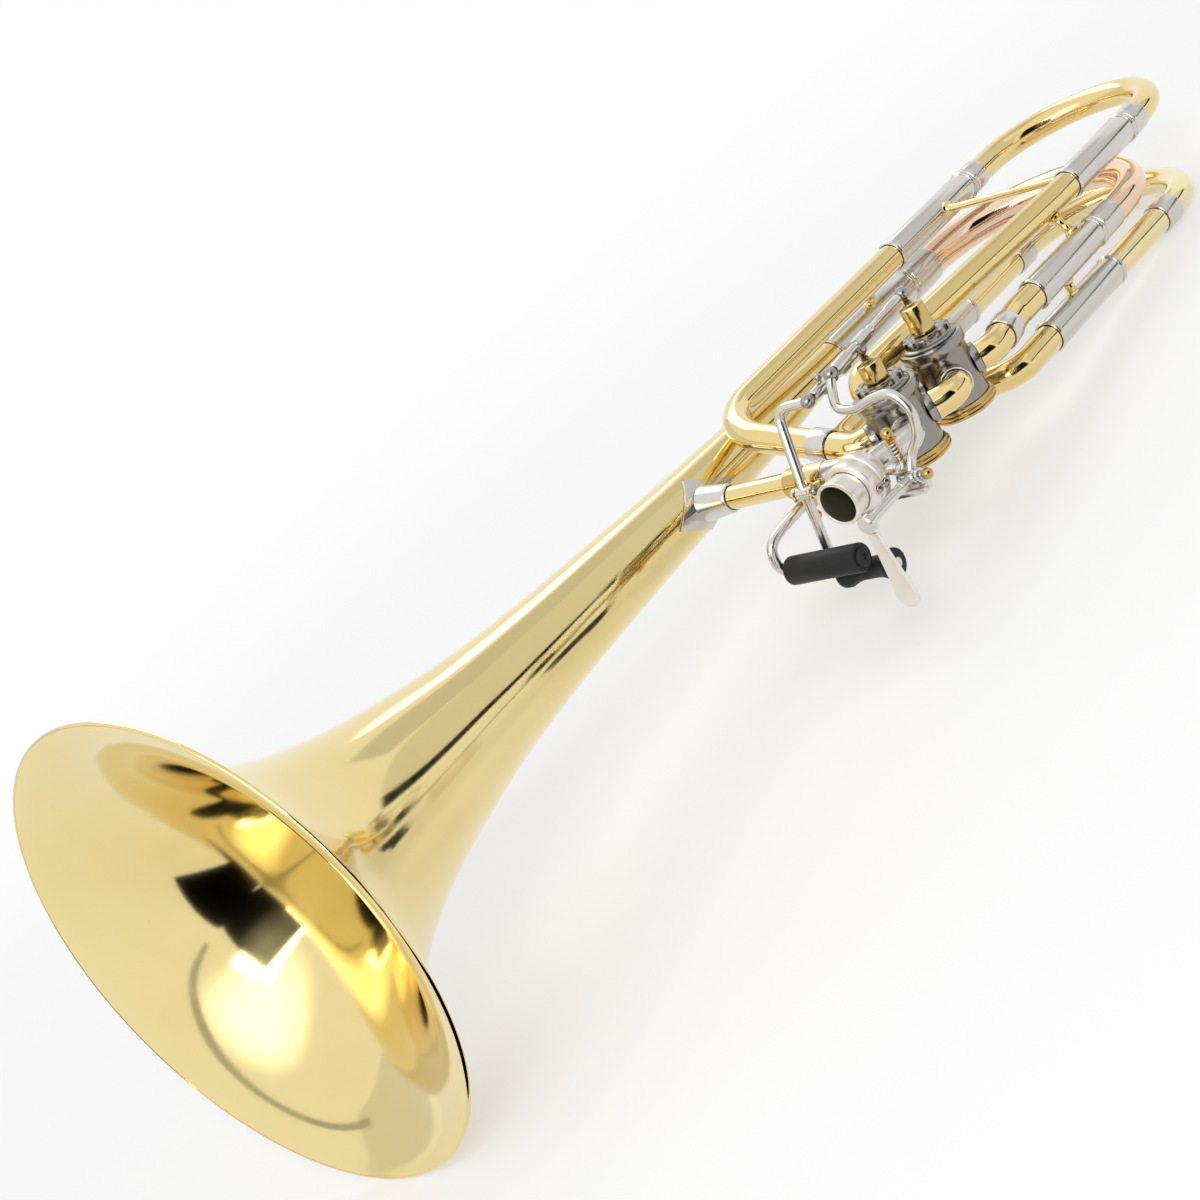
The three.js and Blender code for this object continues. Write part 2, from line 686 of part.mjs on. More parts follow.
function buildValveLink() {
  const start = portPoint(valveOnePlace, 1, 1, knuckleStart);
  const end = portPoint(valveTwoPlace, 1, -1, knuckleStart);
  const reach = (valveTwoPlace - valveOnePlace) / 2;
  const corner = vec(valveOffset + reach, valveOnePlace + reach, 0);
  const way = end.clone().sub(corner).normalize();
  const joint = end.clone().addScaledVector(way, -linkBandLength / 2 - seatGap / 2);
  add("valve_link", tube([start, corner, end], start.distanceTo(corner) - linkBandLength - seatGap), finish.brass);
  add("valve_link_band", aim(bandGeometry(linkBandLength), joint, way), finish.nickel);
}

function buildGooseneck() {
  const start = portPoint(valveOnePlace, 1, -1, knuckleStart);
  const corner = portPoint(valveOnePlace, 1, -1, knuckleStart + knuckleReach);
  const points = [start, corner, vec(neckpipeOffset, gooseneckBend, 0),
    vec(neckpipeOffset, receiverPlace + receiverLength - ferruleShoulder, 0)];
  add("gooseneck", tube(points, [gooseneckCorner, gooseneckCorner]), finish.nickel);
  const seat = tubeRadius + slideClearance;
  const bore = receiverRadius - receiverWall;
  add("receiver", ringProfile(
    [[receiverRimRadius - ferruleChamfer, 0], [receiverRimRadius, ferruleChamfer],
      [receiverRimRadius, receiverRimLength - ferruleChamfer], [receiverRadius, receiverRimLength],
      [receiverRadius, receiverLength - ferruleShoulder], [seat + ferruleWall, receiverLength]],
    [[bore, 0], [bore, receiverLength - ferruleShoulder * 3], [seat, receiverLength - ferruleShoulder * 2],
      [seat, receiverLength]], roundSides),
    finish.nickel, vec(neckpipeOffset, receiverPlace, 0));

  // The collar is clamped on the receiver and carries the second lever's pivot and its thumbscrew.
  const collarBore = receiverRadius + slideClearance;
  const middle = collarLength * 0.45;
  const collar = ringProfile(
    [[collarRadius - ferruleChamfer * 2, 0], [collarRadius, ferruleChamfer * 2], [collarRadius, middle],
      [collarRadius - collarGroove, middle + collarGroove], [collarRadius - collarGroove, middle + collarGroove * 2],
      [collarRadius, middle + collarGroove * 3], [collarRadius, collarLength - ferruleChamfer],
      [collarRadius - ferruleChamfer, collarLength]],
    [[collarBore, 0], [collarBore, collarLength]], roundSides).translate(neckpipeOffset, collarPlace, 0);
  const foot = leverTwoPivot.clone().add(vec(0, 0, -pivotBarrelRadius - bracketEar * 1.5));
  const ears = pivotEars(leverTwoPivot, foot);
  const earEnd = leverTwoPivot.x + pivotBarrelLength / 2 + pivotClearance + bracketEar;
  const barStart = neckpipeOffset + collarRadius * 0.35;
  const bar = box(earEnd - barStart, pivotBarrelRadius * 2, bracketEar * 1.4,
    vec((earEnd + barStart) / 2, leverTwoPivot.y, foot.z));
  const lugStart = neckpipeOffset + collarRadius - collarGroove * 2;
  const lugEnd = thumbscrewPlace.x + thumbscrewRadius * 2.2;
  const lug = box(lugEnd - lugStart, thumbscrewPlace.y + thumbscrewRadius * 2.2 - collarPlace - collarLength * 0.8,
    bracketEar * 1.6, vec((lugStart + lugEnd) / 2,
      (thumbscrewPlace.y + thumbscrewRadius * 2.2 + collarPlace + collarLength * 0.8) / 2, thumbscrewPlace.z));
  const hole = upright(cylinder(thumbscrewRadius + slideClearance, bracketEar * 6)).translate(...thumbscrewPlace.toArray());
  const head = ball(vec(earEnd + thumbscrewBall, leverTwoPivot.y, leverTwoPivot.z), thumbscrewBall * 0.8, 10);
  add("receiver_collar", cut(join(collar, bar, lug, ...ears, head), hole,
    cylinder(collarBore, collarLength * 4, roundSides).translate(neckpipeOffset, collarPlace, 0)), finish.nickel);

  // A ball-headed thumbscrew stands in the collar's lug, with a coil spring under its head.
  const low = -bracketEar * 1.6;
  const neck = thumbscrewLength - thumbscrewBall;
  const screw = join(upright(turned([[0, low], [thumbscrewRadius, low], [thumbscrewRadius, neck],
    [thumbscrewRadius * 2, neck + ferruleWall], [0, neck + ferruleWall * 2]])),
    ball(vec(0, 0, thumbscrewLength), thumbscrewBall * 0.8, 10));
  add("collar_thumbscrew", screw, finish.goldBrass, thumbscrewPlace);
  const coil = Array.from({ length: springTurns * springSteps + 1 }, (_, i) => {
    const turn = (2 * Math.PI * i) / springSteps;
    const foot = bracketEar * 0.8 + springWire + slideClearance;
    const rise = (springLength * i) / (springTurns * springSteps);
    return vec(springRadius * Math.cos(turn), springRadius * Math.sin(turn), foot + rise);
  });
  const coilStations = coil.map((place, i) => ({
    place,
    heading: coil[Math.min(i + 1, coil.length - 1)].clone().sub(coil[Math.max(i - 1, 0)]).normalize(),
  }));
  add("thumbscrew_spring", sweep(coilStations, springWire, 0, springSides), finish.nickel, thumbscrewPlace);

  // The least gap is measured between coil points more than half a turn apart.
  let nearest = Infinity;
  coil.forEach((from, i) => coil.forEach((to, k) => {
    if (k - i > springSteps / 2) nearest = Math.min(nearest, from.distanceTo(to));
  }));
  console.log(`least gap between spring turns, measured: ${(nearest - springWire * 2).toFixed(2)} mm`);
}

function buildNeckpipe() {
  const start = portPoint(valveTwoPlace, 1, 1, knuckleStart);
  const corner = portPoint(valveTwoPlace, 1, 1, knuckleStart + knuckleReach);
  const bend = vec(neckpipeOffset, neckSleeveStart - bandLength * 1.5, 0);
  const end = vec(neckpipeOffset, neckSleeveStart + slideBeadLength * 2, 0);
  add("neckpipe", tube([start, corner, bend, end], [knuckleRadius * 1.4, knuckleRadius * 2]), finish.brass);
  const way = bend.clone().sub(corner);
  const place = corner.clone().addScaledVector(way, 0.5);
  add("neckpipe_band", aim(bandGeometry(bandLength), place, way), finish.nickel);
}

function buildLoopOne() {
  const outStart = portPoint(valveOnePlace, -1, -1, knuckleStart);
  const outCorner = portPoint(valveOnePlace, -1, -1, knuckleStart + knuckleReach);
  const bowCorner = vec(loopOneOutOffset, bowPlace, loopOneHeight);
  const run = bowCorner.clone().sub(outCorner);
  const runWay = run.clone().normalize();
  const joint = outCorner.clone().addScaledVector(runWay, knuckleFerruleStart + bandLength / 2);
  add("loop_1_knuckle", tube([outStart, outCorner, joint.clone().addScaledVector(runWay, -seatGap / 2)],
    knuckleRadius), finish.brass);
  add("loop_1_knuckle_band", aim(bandGeometry(bandLength), joint, runWay), finish.nickel);
  const sleeveStart = vec(loopOneOutOffset, loopOneOutSleeveStart + slideBeadLength * 2, loopOneHeight);
  add("loop_1_bow", tube([joint.clone().addScaledVector(runWay, seatGap / 2), bowCorner, sleeveStart], bowRadius),
    finish.brass);
  add("loop_1_out_sleeve", sleeveGeometry(loopOneOutSleeveLength, sleeveBore, sleeveRadius), finish.nickel,
    vec(loopOneOutOffset, loopOneOutSleeveStart, loopOneHeight));
  add("loop_1_back_sleeve", sleeveGeometry(loopOneBackSleeveLength, sleeveBore, sleeveRadius), finish.nickel,
    vec(loopOneBackOffset, loopOneBackSleeveStart, loopOneHeight));

  // The return run drops beside the valves to the first valve's inner rear port.
  const backStart = portPoint(valveOnePlace, -1, 1, knuckleStart);
  const backCorner = portPoint(valveOnePlace, -1, 1, knuckleStart + knuckleReach);
  const elbow = vec(returnElbowOffset, returnElbowPlace, returnElbowHeight);
  const backEnd = vec(loopOneBackOffset, loopOneBackSleeveStart + slideBeadLength * 2, loopOneHeight);
  const backTurn = vec(loopOneBackOffset, loopOneBackSleeveStart - bandLength, loopOneHeight);
  add("loop_1_return", tube([backStart, backCorner, elbow, backTurn, backEnd],
    [knuckleRadius, returnElbowRadius, bowRadius * 2]), finish.brass);

  const outEnd = loopOneOutSleeveStart + loopOneOutSleeveLength;
  const backSleeveEnd = loopOneBackSleeveStart + loopOneBackSleeveLength;
  const inner = () => innerSlideGeometry(loopOneInsertLength, loopOneFerruleLength, tubeRadius, boreRadius);
  add("loop_1_inner_out", inner(), finish.nickel, vec(loopOneOutOffset, outEnd, loopOneHeight));
  add("loop_1_inner_back", inner(), finish.nickel, vec(loopOneBackOffset, backSleeveEnd, loopOneHeight));
  const seat = ferruleShoulder + seatGap;
  const half = (loopOneBackOffset - loopOneOutOffset) / 2;
  const top = Math.max(outEnd, backSleeveEnd) + loopOneFerruleLength + ferruleChamfer + half;
  add("loop_1_crook", sweep(crookStations(loopOneOutOffset, loopOneBackOffset, outEnd + seat,
    backSleeveEnd + seat, top, loopOneHeight), tubeRadius, boreRadius), finish.brass);
}

function buildLoopTwo() {
  const nearStart = portPoint(valveTwoPlace, -1, 1, knuckleStart);
  const nearCorner = portPoint(valveTwoPlace, -1, 1, knuckleStart + knuckleReach);
  const under = vec(loopTwoBendOffset, nearCorner.y + knuckleRadius, loopTwoDrop);
  const bend = vec(loopTwoNearOffset, loopTwoBendPlace, loopTwoDrop);
  const nearEnd = vec(loopTwoNearOffset, loopTwoSleeveStart + slideBeadLength * 2, loopTwoDrop);
  add("loop_2_near_bend", tube([nearStart, nearCorner, under, bend, nearEnd],
    [knuckleRadius, returnElbowRadius, loopTwoBendRadius]), finish.brass);
  add("loop_2_near_sleeve", sleeveGeometry(loopTwoSleeveLength, sleeveBore, sleeveRadius), finish.nickel,
    vec(loopTwoNearOffset, loopTwoSleeveStart, loopTwoDrop));
  add("loop_2_far_sleeve", sleeveGeometry(loopTwoFarSleeveLength, sleeveBore, sleeveRadius), finish.nickel,
    vec(loopTwoFarOffset, loopTwoFarSleeveStart, loopTwoDrop));

  const farStart = portPoint(valveTwoPlace, -1, -1, knuckleStart);
  const farCorner = portPoint(valveTwoPlace, -1, -1, knuckleStart + knuckleReach);
  const farDrop = vec(farCorner.x - knuckleRadius, farCorner.y + knuckleReach, loopTwoDrop);
  const farBend = vec(loopTwoFarOffset, farCorner.y + knuckleReach, loopTwoDrop);
  const farEnd = vec(loopTwoFarOffset, loopTwoFarSleeveStart + slideBeadLength * 2, loopTwoDrop);
  add("loop_2_far_bend", tube([farEnd, farBend, farDrop, farCorner, farStart],
    [loopTwoBendRadius * 1.6, returnElbowRadius, knuckleRadius]), finish.brass);

  // The slide stands part way out, so its brass inner tubes show between sleeve and ferrule.
  const ends = { near: loopTwoSleeveStart + loopTwoSleeveLength, far: loopTwoFarSleeveStart + loopTwoFarSleeveLength };
  const offsets = { near: loopTwoNearOffset, far: loopTwoFarOffset };
  const level = Math.max(ends.near, ends.far) + loopTwoCapLength / 2 + loopTwoPulled;
  for (const side of ["near", "far"]) {
    const length = level - ends[side] + loopTwoInsertLength - loopTwoPulled;
    const tubeGeometry = ringProfile([[tubeRadius, -length], [tubeRadius, ferruleShoulder]],
      [[boreRadius, -length], [boreRadius, ferruleShoulder]]);
    add(`loop_2_${side}_inner`, tubeGeometry, finish.paleBrass, vec(offsets[side], level, loopTwoDrop));
    add(`loop_2_${side}_ferrule`, bandGeometry(loopTwoFerruleLength), finish.nickel,
      vec(offsets[side], level + loopTwoFerruleLength / 2, loopTwoDrop));
  }
  const seat = ferruleShoulder + seatGap;
  const half = (loopTwoNearOffset - loopTwoFarOffset) / 2;
  const top = level + loopTwoFerruleLength + ferruleChamfer + half;
  add("loop_2_crook", sweep(crookStations(loopTwoFarOffset, loopTwoNearOffset, level + seat, level + seat, top,
    loopTwoDrop), tubeRadius, boreRadius), finish.paleBrass);
}

function buildBellBrace() {
  const share = bracePlace / bellLength;
  const stem = flareRadius(share);
  const plateShape = new THREE.Shape();
  plateShape.moveTo(-bracePlateLength / 2, 0);
  plateShape.quadraticCurveTo(-bracePlateLength / 6, bracePlateWidth / 3, 0, bracePlateWidth / 2);
  plateShape.quadraticCurveTo(bracePlateLength / 6, bracePlateWidth / 3, bracePlateLength / 2, 0);
  plateShape.quadraticCurveTo(bracePlateLength / 6, -bracePlateWidth / 3, 0, -bracePlateWidth / 2);
  plateShape.quadraticCurveTo(-bracePlateLength / 6, -bracePlateWidth / 3, -bracePlateLength / 2, 0);
  const plan = new THREE.ExtrudeGeometry(plateShape, { depth: stem * 2, bevelEnabled: false, curveSegments: 5 })
    .rotateZ(Math.PI / 2).rotateY(Math.PI / 2).translate(0, bracePlace, 0);
  // The plate follows the stem: a shell of the stem's own taper, trimmed to the diamond plan.
  const reach = bracePlateLength / 2 / bellLength;
  const shellLine = (extra) => [-1, 0, 1].map((side) =>
    [flareRadius(share + side * reach) + seatGap + extra, bracePlace + side * (bracePlateLength / 2)]);
  const shell = ringProfile(shellLine(bracePlateThickness), shellLine(0), bellSides);
  const plate = toGeometry(toSolid(shell).intersect(toSolid(plan)));
  const coneStart = stem + seatGap + bracePlateThickness / 3;
  const cone = aim(turned([[0, 0], [braceConeRadius, 0], [braceRadius + ferruleWall * 2, braceConeLength * 0.55],
    [braceRadius + ferruleWall, braceConeLength], [0, braceConeLength]]), vec(coneStart, bracePlace, 0), vec(1, 0, 0));
  const socket = rodBetween(vec(coneStart + braceConeLength / 2, bracePlace, 0),
    vec(coneStart + braceConeLength + cutOverrun, bracePlace, 0), braceRadius + slideClearance);
  add("brace_plate", cut(join(plate, cone), socket), finish.nickel);

  const tubeStart = coneStart + braceConeLength / 2 + seatGap;
  const saddleFace = neckpipeOffset - tubeRadius - slideClearance;
  const bandStart = saddleFace - braceBandLength;
  const tubeEnd = saddleFace - braceBandLength / 2;
  add("brace_tube", aim(ringProfile([[braceRadius, 0], [braceRadius, tubeEnd - tubeStart]],
    [[braceRadius - braceWall, 0], [braceRadius - braceWall, tubeEnd - tubeStart]]),
    vec(tubeStart, bracePlace, 0), vec(1, 0, 0)), finish.brass);
  const bandSeat = braceRadius + slideClearance;
  const band = aim(turned([[0, 0], [braceBandRadius - ferruleChamfer, 0], [braceBandRadius, ferruleChamfer],
    [braceBandRadius, braceBandLength * 0.7], [braceBandRadius + ferruleWall, braceBandLength * 0.8],
    [braceBandRadius + ferruleWall, braceBandLength + tubeRadius], [0, braceBandLength + tubeRadius]]),
    vec(bandStart, bracePlace, 0), vec(1, 0, 0));
  const bore = rodBetween(vec(bandStart - cutOverrun, bracePlace, 0), vec(tubeEnd + seatGap, bracePlace, 0), bandSeat);
  const saddle = cylinder(tubeRadius + slideClearance, braceSaddleWidth * 3, 24).translate(neckpipeOffset, bracePlace, 0);
  const trim = box(tubeRadius * 3, braceSaddleWidth * 3, tubeRadius * 6,
    vec(neckpipeOffset + tubeRadius * 1.5 - slideClearance, bracePlace, 0));
  add("brace_band", cut(band, bore, saddle, trim), finish.nickel);
}

const valveOne = buildValve(1, valveOnePlace, 0, stopArmRestAngle);
const valveTwo = buildValve(2, valveTwoPlace, hubTwoLift, stopArmRestAngle);

// A clamp ring round a bar along a heading.
function clampRing(place, heading, radius, length = clampLength) {
  const bore = radius + slideClearance;
  return aim(ringProfile([[bore + clampWall, 0], [bore + clampWall, length]], [[bore, 0], [bore, length]])
    .translate(0, -length / 2, 0), place, heading);
}

// Two ears with a pin between them, for a pivot barrel on an X axis.
function pivotEars(pivot, foot) {
  const half = pivotBarrelLength / 2 + pivotClearance;
  const ears = [-1, 1].flatMap((side) => {
    const x = pivot.x + side * (half + bracketEar / 2);
    const outer = vec(x + (side * bracketEar) / 2, pivot.y, pivot.z);
    const inner = vec(x - (side * bracketEar) / 2, pivot.y, pivot.z);
    const way = foot.clone().sub(pivot).setX(0);
    const web = box(bracketEar, way.length(), pivotBarrelRadius * 1.5, vec(0, way.length() / 2, 0))
      .rotateX(Math.atan2(way.z, way.y)).translate(x, pivot.y, pivot.z);
    return [rodBetween(inner, outer, pivotBarrelRadius, pivotBarrelRadius, 12), web];
  });
  const pin = rodBetween(vec(pivot.x - half - bracketEar, pivot.y, pivot.z),
    vec(pivot.x + half + bracketEar + pivotPinRadius, pivot.y, pivot.z), pivotPinRadius, pivotPinRadius, 10);
  return [...ears, pin];
}

function pivotBarrel(pivot) {
  const half = pivotBarrelLength / 2;
  return rodBetween(vec(pivot.x - half, pivot.y, pivot.z), vec(pivot.x + half, pivot.y, pivot.z),
    pivotBarrelRadius, pivotBarrelRadius, 14);
}

function pinHole(pivot) {
  const half = pivotBarrelLength / 2 + cutOverrun;
  return rodBetween(vec(pivot.x - half, pivot.y, pivot.z), vec(pivot.x + half, pivot.y, pivot.z),
    pivotPinRadius + pivotClearance, pivotPinRadius + pivotClearance, 12);
}

function buildLeverOne() {
  const top = vec(valveOne.ball.x, leverOnePivot.y + leverOneLean, valveOne.ball.z);
  const bend = vec(leverOnePivot.x - leverOneBendInset, top.y, top.z);
  const turn = vec(spoolPlace.x - spoolLength / 2 - wireRadius - pivotBarrelRadius / 2, spoolPlace.y, spoolPlace.z);
  const wireEnd = vec(spoolPlace.x + spoolLength / 2 + wireRadius / 2, spoolPlace.y, spoolPlace.z);
  const stations = filletStations([top, bend, leverOnePivot, turn, wireEnd],
    [wireRadius * 2.6, wireRadius * 6, wireRadius * 1.5]);
  const wire = sweep(stations, wireRadius, 0, wireSides);
  add("lever_1_wire", cut(join(wire, ball(top, linkBallRadius), pivotBarrel(leverOnePivot)),
    pinHole(leverOnePivot)), finish.nickel);
  const spool = aim(ringProfile(
    [[spoolRadius - ferruleChamfer, 0], [spoolRadius, ferruleChamfer], [spoolRadius, spoolLength * 0.12],
      [spoolWaist, spoolLength * 0.3], [spoolWaist, spoolLength * 0.7], [spoolRadius, spoolLength * 0.88],
      [spoolRadius, spoolLength - ferruleChamfer], [spoolRadius - ferruleChamfer, spoolLength]],
    [[gripBore, 0], [gripBore, spoolLength]]), vec(spoolPlace.x - spoolLength / 2, spoolPlace.y, spoolPlace.z),
    vec(1, 0, 0));
  add("lever_1_spool", spool, finish.blackGrip);
  const foot = vec(leverOnePivot.x, bracePlace, 0);
  const holder = join(clampRing(foot, vec(1, 0, 0), braceRadius, pivotBarrelLength + pivotClearance * 2 + bracketEar * 2),
    ...pivotEars(leverOnePivot, foot.clone().setY(bracePlace - braceRadius - clampWall / 2)));
  add("lever_1_bracket", holder, finish.brass);
}

function buildLeverTwo() {
  const top = vec(leverTwoBallOffset, leverTwoPivot.y + leverTwoLean, valveTwo.ball.z);
  const reach = top.clone().sub(leverTwoPivot);
  const points = leverTwoRouteShares.map(([x, y, z]) => vec(x, y, z).multiply(reach).add(leverTwoPivot));
  const upper = sweep(curveStations(points, leverTwoSteps), wireRadius, 0, wireSides);
  const disc = vec(leverTwoPivot.x, leverTwoPivot.y - paddleReach, leverTwoPivot.z);
  const lower = rodBetween(leverTwoPivot, disc, wireRadius, wireRadius, 10);
  const knob = rodBetween(disc.clone().add(vec(0, -paddleThickness, 0)), disc.clone().add(vec(0, paddleThickness, 0)),
    paddleDiscRadius, paddleDiscRadius, 16);
  const knee = ball(leverTwoPivot, wireRadius * 1.1, 10);
  add("lever_2_wire", cut(join(upper, knee, lower, knob, ball(top, linkBallRadius), pivotBarrel(leverTwoPivot)),
    pinHole(leverTwoPivot)), finish.nickel);
  const shape = new THREE.Shape();
  shape.moveTo(-paddleNeck / 2, 0);
  shape.bezierCurveTo(-paddleNeck / 2, -paddleLength * 0.5, -paddleWidth / 2, -paddleLength * 0.6,
    -paddleWidth / 2, -paddleLength + paddleWidth / 2);
  shape.absarc(0, -paddleLength + paddleWidth / 2, paddleWidth / 2, Math.PI, 2 * Math.PI, false);
  shape.bezierCurveTo(paddleWidth / 2, -paddleLength * 0.6, paddleNeck / 2, -paddleLength * 0.5, paddleNeck / 2, 0);
  shape.closePath();
  const blade = new THREE.ExtrudeGeometry(shape, { depth: paddleThickness, bevelEnabled: false, curveSegments: 7 })
    .rotateX(Math.PI / 2).translate(disc.x, disc.y + paddleThickness / 2, disc.z - paddleDiscRadius - seatGap);
  add("lever_2_paddle", blade, finish.nickel);
}

// A link rod between two balls, thick and hexagonal in turn, held clear of both.
function buildRod(number, from, to, barShare, hexShare) {
  const way = to.clone().sub(from).normalize();
  const start = from.clone().addScaledVector(way, linkBallRadius + linkGap);
  const end = to.clone().addScaledVector(way, -linkBallRadius - linkGap);
  const at = (share) => start.clone().lerp(end, share);
  const pieces = [
    rodBetween(start, end, rodRadius, rodRadius, 10),
    rodBetween(at(0), at(barShare), rodBarRadius, rodBarRadius, 12),
    rodBetween(at(barShare + 0.08), at(barShare + 0.08 + hexShare), rodHexRadius, rodHexRadius, 6),
  ];
  add(`link_rod_${number}`, join(...pieces), finish.nickel);
}

function buildRods() {
  buildRod(1, vec(valveOne.ball.x, leverOnePivot.y + leverOneLean, valveOne.ball.z), valveOne.ball, 0.5, 0.2);
  buildRod(2, vec(leverTwoBallOffset, leverTwoPivot.y + leverTwoLean, valveTwo.ball.z), valveTwo.ball, 0.2, 0.18);
}

function buildHandRest() {
  const gripStart = handRestGrip.x - gripLength / 2;
  const gripEnd = handRestGrip.x + gripLength / 2;
  const lugDrop = braceRadius + slideClearance + clampWall + wireRadius;
  const root = vec(handRestClamp, bracePlace, -lugDrop);
  const grip = vec(gripStart, handRestGrip.y, handRestGrip.z);
  const points = handRestRouteShares.map(([bulge, y, z]) =>
    vec((root.x + grip.x) / 2 - bulge * handRestBulge, root.y + (grip.y - root.y) * y, root.z + (grip.z - root.z) * z));
  const wire = sweep(curveStations(points, handRestSteps), wireRadius, 0, wireSides);
  const core = rodBetween(points.at(-1).clone().add(vec(-wireRadius, 0, 0)),
    vec(gripEnd + seatGap, handRestGrip.y, handRestGrip.z), wireRadius, wireRadius, 10);
  const screwHead = rodBetween(vec(gripEnd + seatGap, handRestGrip.y, handRestGrip.z),
    vec(gripEnd + seatGap + wireRadius * 0.6, handRestGrip.y, handRestGrip.z), wireRadius * 1.5, wireRadius, 12);
  add("hand_rest_wire", join(wire, core, screwHead), finish.nickel);
  add("hand_rest_grip", aim(ringProfile(
    [[gripRadius - ferruleChamfer, 0], [gripRadius, ferruleChamfer], [gripRadius, gripLength - ferruleChamfer],
      [gripRadius - ferruleChamfer, gripLength]],
    [[gripBore, 0], [gripBore, gripLength]], 18), vec(gripStart, handRestGrip.y, handRestGrip.z), vec(1, 0, 0)),
    finish.blackGrip);
  const ring = clampRing(vec(handRestClamp, bracePlace, 0), vec(1, 0, 0), braceRadius);
  const lug = box(clampLength, clampLength, wireRadius * 3.4, vec(handRestClamp, bracePlace, -lugDrop - wireRadius * 0.4));
  const bore = cylinder(wireRadius + seatGap, clampLength * 3, 12).translate(handRestClamp, bracePlace - clampLength, -lugDrop);
  const seat = ball(root, wireRadius + seatGap, 12);
  const tunnel = aim(cylinder(braceRadius + slideClearance, clampLength * 3), vec(handRestClamp, bracePlace, 0), vec(1, 0, 0));
  const screw = rodBetween(vec(handRestClamp, bracePlace, -lugDrop - wireRadius * 1.8),
    vec(handRestClamp, bracePlace, -lugDrop - wireRadius * 3), thumbscrewRadius, thumbscrewRadius, 8);
  const head = ball(vec(handRestClamp, bracePlace, -lugDrop - wireRadius * 3.6), thumbscrewBall * 0.7, 10);
  add("hand_rest_clamp", cut(join(ring, lug, screw, head), tunnel, bore, seat), finish.goldBrass);
}

// A brace with a saddle flange at each end, between the axes of two tubes that run along Y.
function braceBetween(name, from, fromRadius, to, toRadius, radius, flange) {
  const way = to.clone().sub(from).normalize();
  const start = from.clone().addScaledVector(way, fromRadius * 0.8);
  const end = to.clone().addScaledVector(way, -toRadius * 0.8);
  const length = start.distanceTo(end);
  const startFlange = fromRadius * 0.2 + seatGap + flange * 0.3;
  const endFlange = toRadius * 0.2 + seatGap + flange * 0.3;
  const bar = aim(turned([[0, 0], [flange, 0], [flange, startFlange], [radius, startFlange + flange * 0.3],
    [radius, length - endFlange - flange * 0.3], [flange, length - endFlange], [flange, length], [0, length]], 12),
    start, way);
  const seats = [[from, fromRadius], [to, toRadius]].map(([place, reach]) =>
    cylinder(reach + seatGap, flange * 12, roundSides).translate(...place.toArray()));
  add(name, cut(bar, ...seats), finish.brass);
}

function buildBraces() {
  braceBetween("loop_1_strut",
    vec(loopOneOutOffset, loopOneOutSleeveStart + loopOneOutSleeveLength * 0.62, loopOneHeight), sleeveRadius,
    vec(loopOneBackOffset, loopOneBackSleeveStart + strutFlange * 2.4, loopOneHeight), sleeveRadius,
    strutRadius, strutFlange);
  const backPlace = neckBracePlace;
  const along = (backPlace - returnElbowPlace) / (loopOneBackSleeveStart - bandLength - returnElbowPlace);
  const backOffset = returnElbowOffset + (loopOneBackOffset - returnElbowOffset) * along;
  const backHeight = returnElbowHeight + (loopOneHeight - returnElbowHeight) * along;
  braceBetween("slide_brace", vec(backOffset, neckBracePlace, backHeight), sleeveBore,
    vec(neckpipeOffset, neckBracePlace, 0), sleeveRadius, smallBraceRadius, strutFlange);
  braceBetween("loop_2_brace", vec(neckpipeOffset, loopTwoBracePlace, 0), sleeveRadius,
    vec(loopTwoNearOffset, loopTwoBracePlace, loopTwoDrop), sleeveRadius, smallBraceRadius, strutFlange * 0.8);
  braceBetween("bell_stem_brace", vec(0, bellBracePlace, 0), bellTailRadius + slideClearance + sleeveWall,
    vec(loopOneOutOffset, bellBracePlace, loopOneHeight), tubeRadius, smallBraceRadius, strutFlange * 0.8);
}

buildBell();
buildMainSlide();
buildNeckpipe();
buildValveLink();
buildGooseneck();
buildLoopOne();
buildLoopTwo();
buildBellBrace();
buildLeverOne();
buildLeverTwo();
buildRods();
buildHandRest();
buildBraces();

// Turns the horn so that it lies on the stable face of its convex hull that keeps the valves most nearly upright.
function settle(group) {
  const points = [];
  const centre = vec(0, 0, 0);
  let volume = 0;
  for (const mesh of group.children) {
    const place = mesh.geometry.getAttribute("position");
    const at = (i) => vec(0, 0, 0).fromBufferAttribute(place, i).add(mesh.position);
    for (let i = 0; i < place.count; i++) points.push(at(i));
    for (let i = 0; i < mesh.geometry.index.count; i += 3) {
      const [a, b, c] = [0, 1, 2].map((k) => at(mesh.geometry.index.getX(i + k)));
      const part = a.dot(b.clone().cross(c)) / 6;
      volume += part;
      centre.addScaledVector(a.add(b).add(c), part / 4);
    }
  }
  centre.divideScalar(volume);
  let rest = vec(0, 0, restSteepest);
  for (const face of new ConvexHull().setFromPoints(points).faces) {
    if (face.normal.z > rest.z) continue;
    const height = face.constant - face.normal.dot(centre);
    const foot = centre.clone().addScaledVector(face.normal, height);
    const corners = [];
    let edge = face.edge;
    do {
      corners.push(edge.head().point);
      edge = edge.next;
    } while (edge !== face.edge);
    const held = corners.every((corner, i) => {
      const side = corners[(i + 1) % corners.length].clone().sub(corner);
      return side.cross(foot.clone().sub(corner)).dot(face.normal) > 0;
    });
    if (held) rest = face.normal.clone();
  }
  group.quaternion.setFromUnitVectors(rest, vec(0, 0, -1));
  group.updateMatrixWorld(true);
  const bounds = new THREE.Box3().setFromObject(group, true);
  const middle = bounds.getCenter(vec(0, 0, 0));
  group.position.set(-middle.x, -middle.y, -bounds.min.z);
}

settle(horn);

export default horn;
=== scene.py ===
import bpy
import json
import math
from mathutils import Matrix, Quaternion, Vector

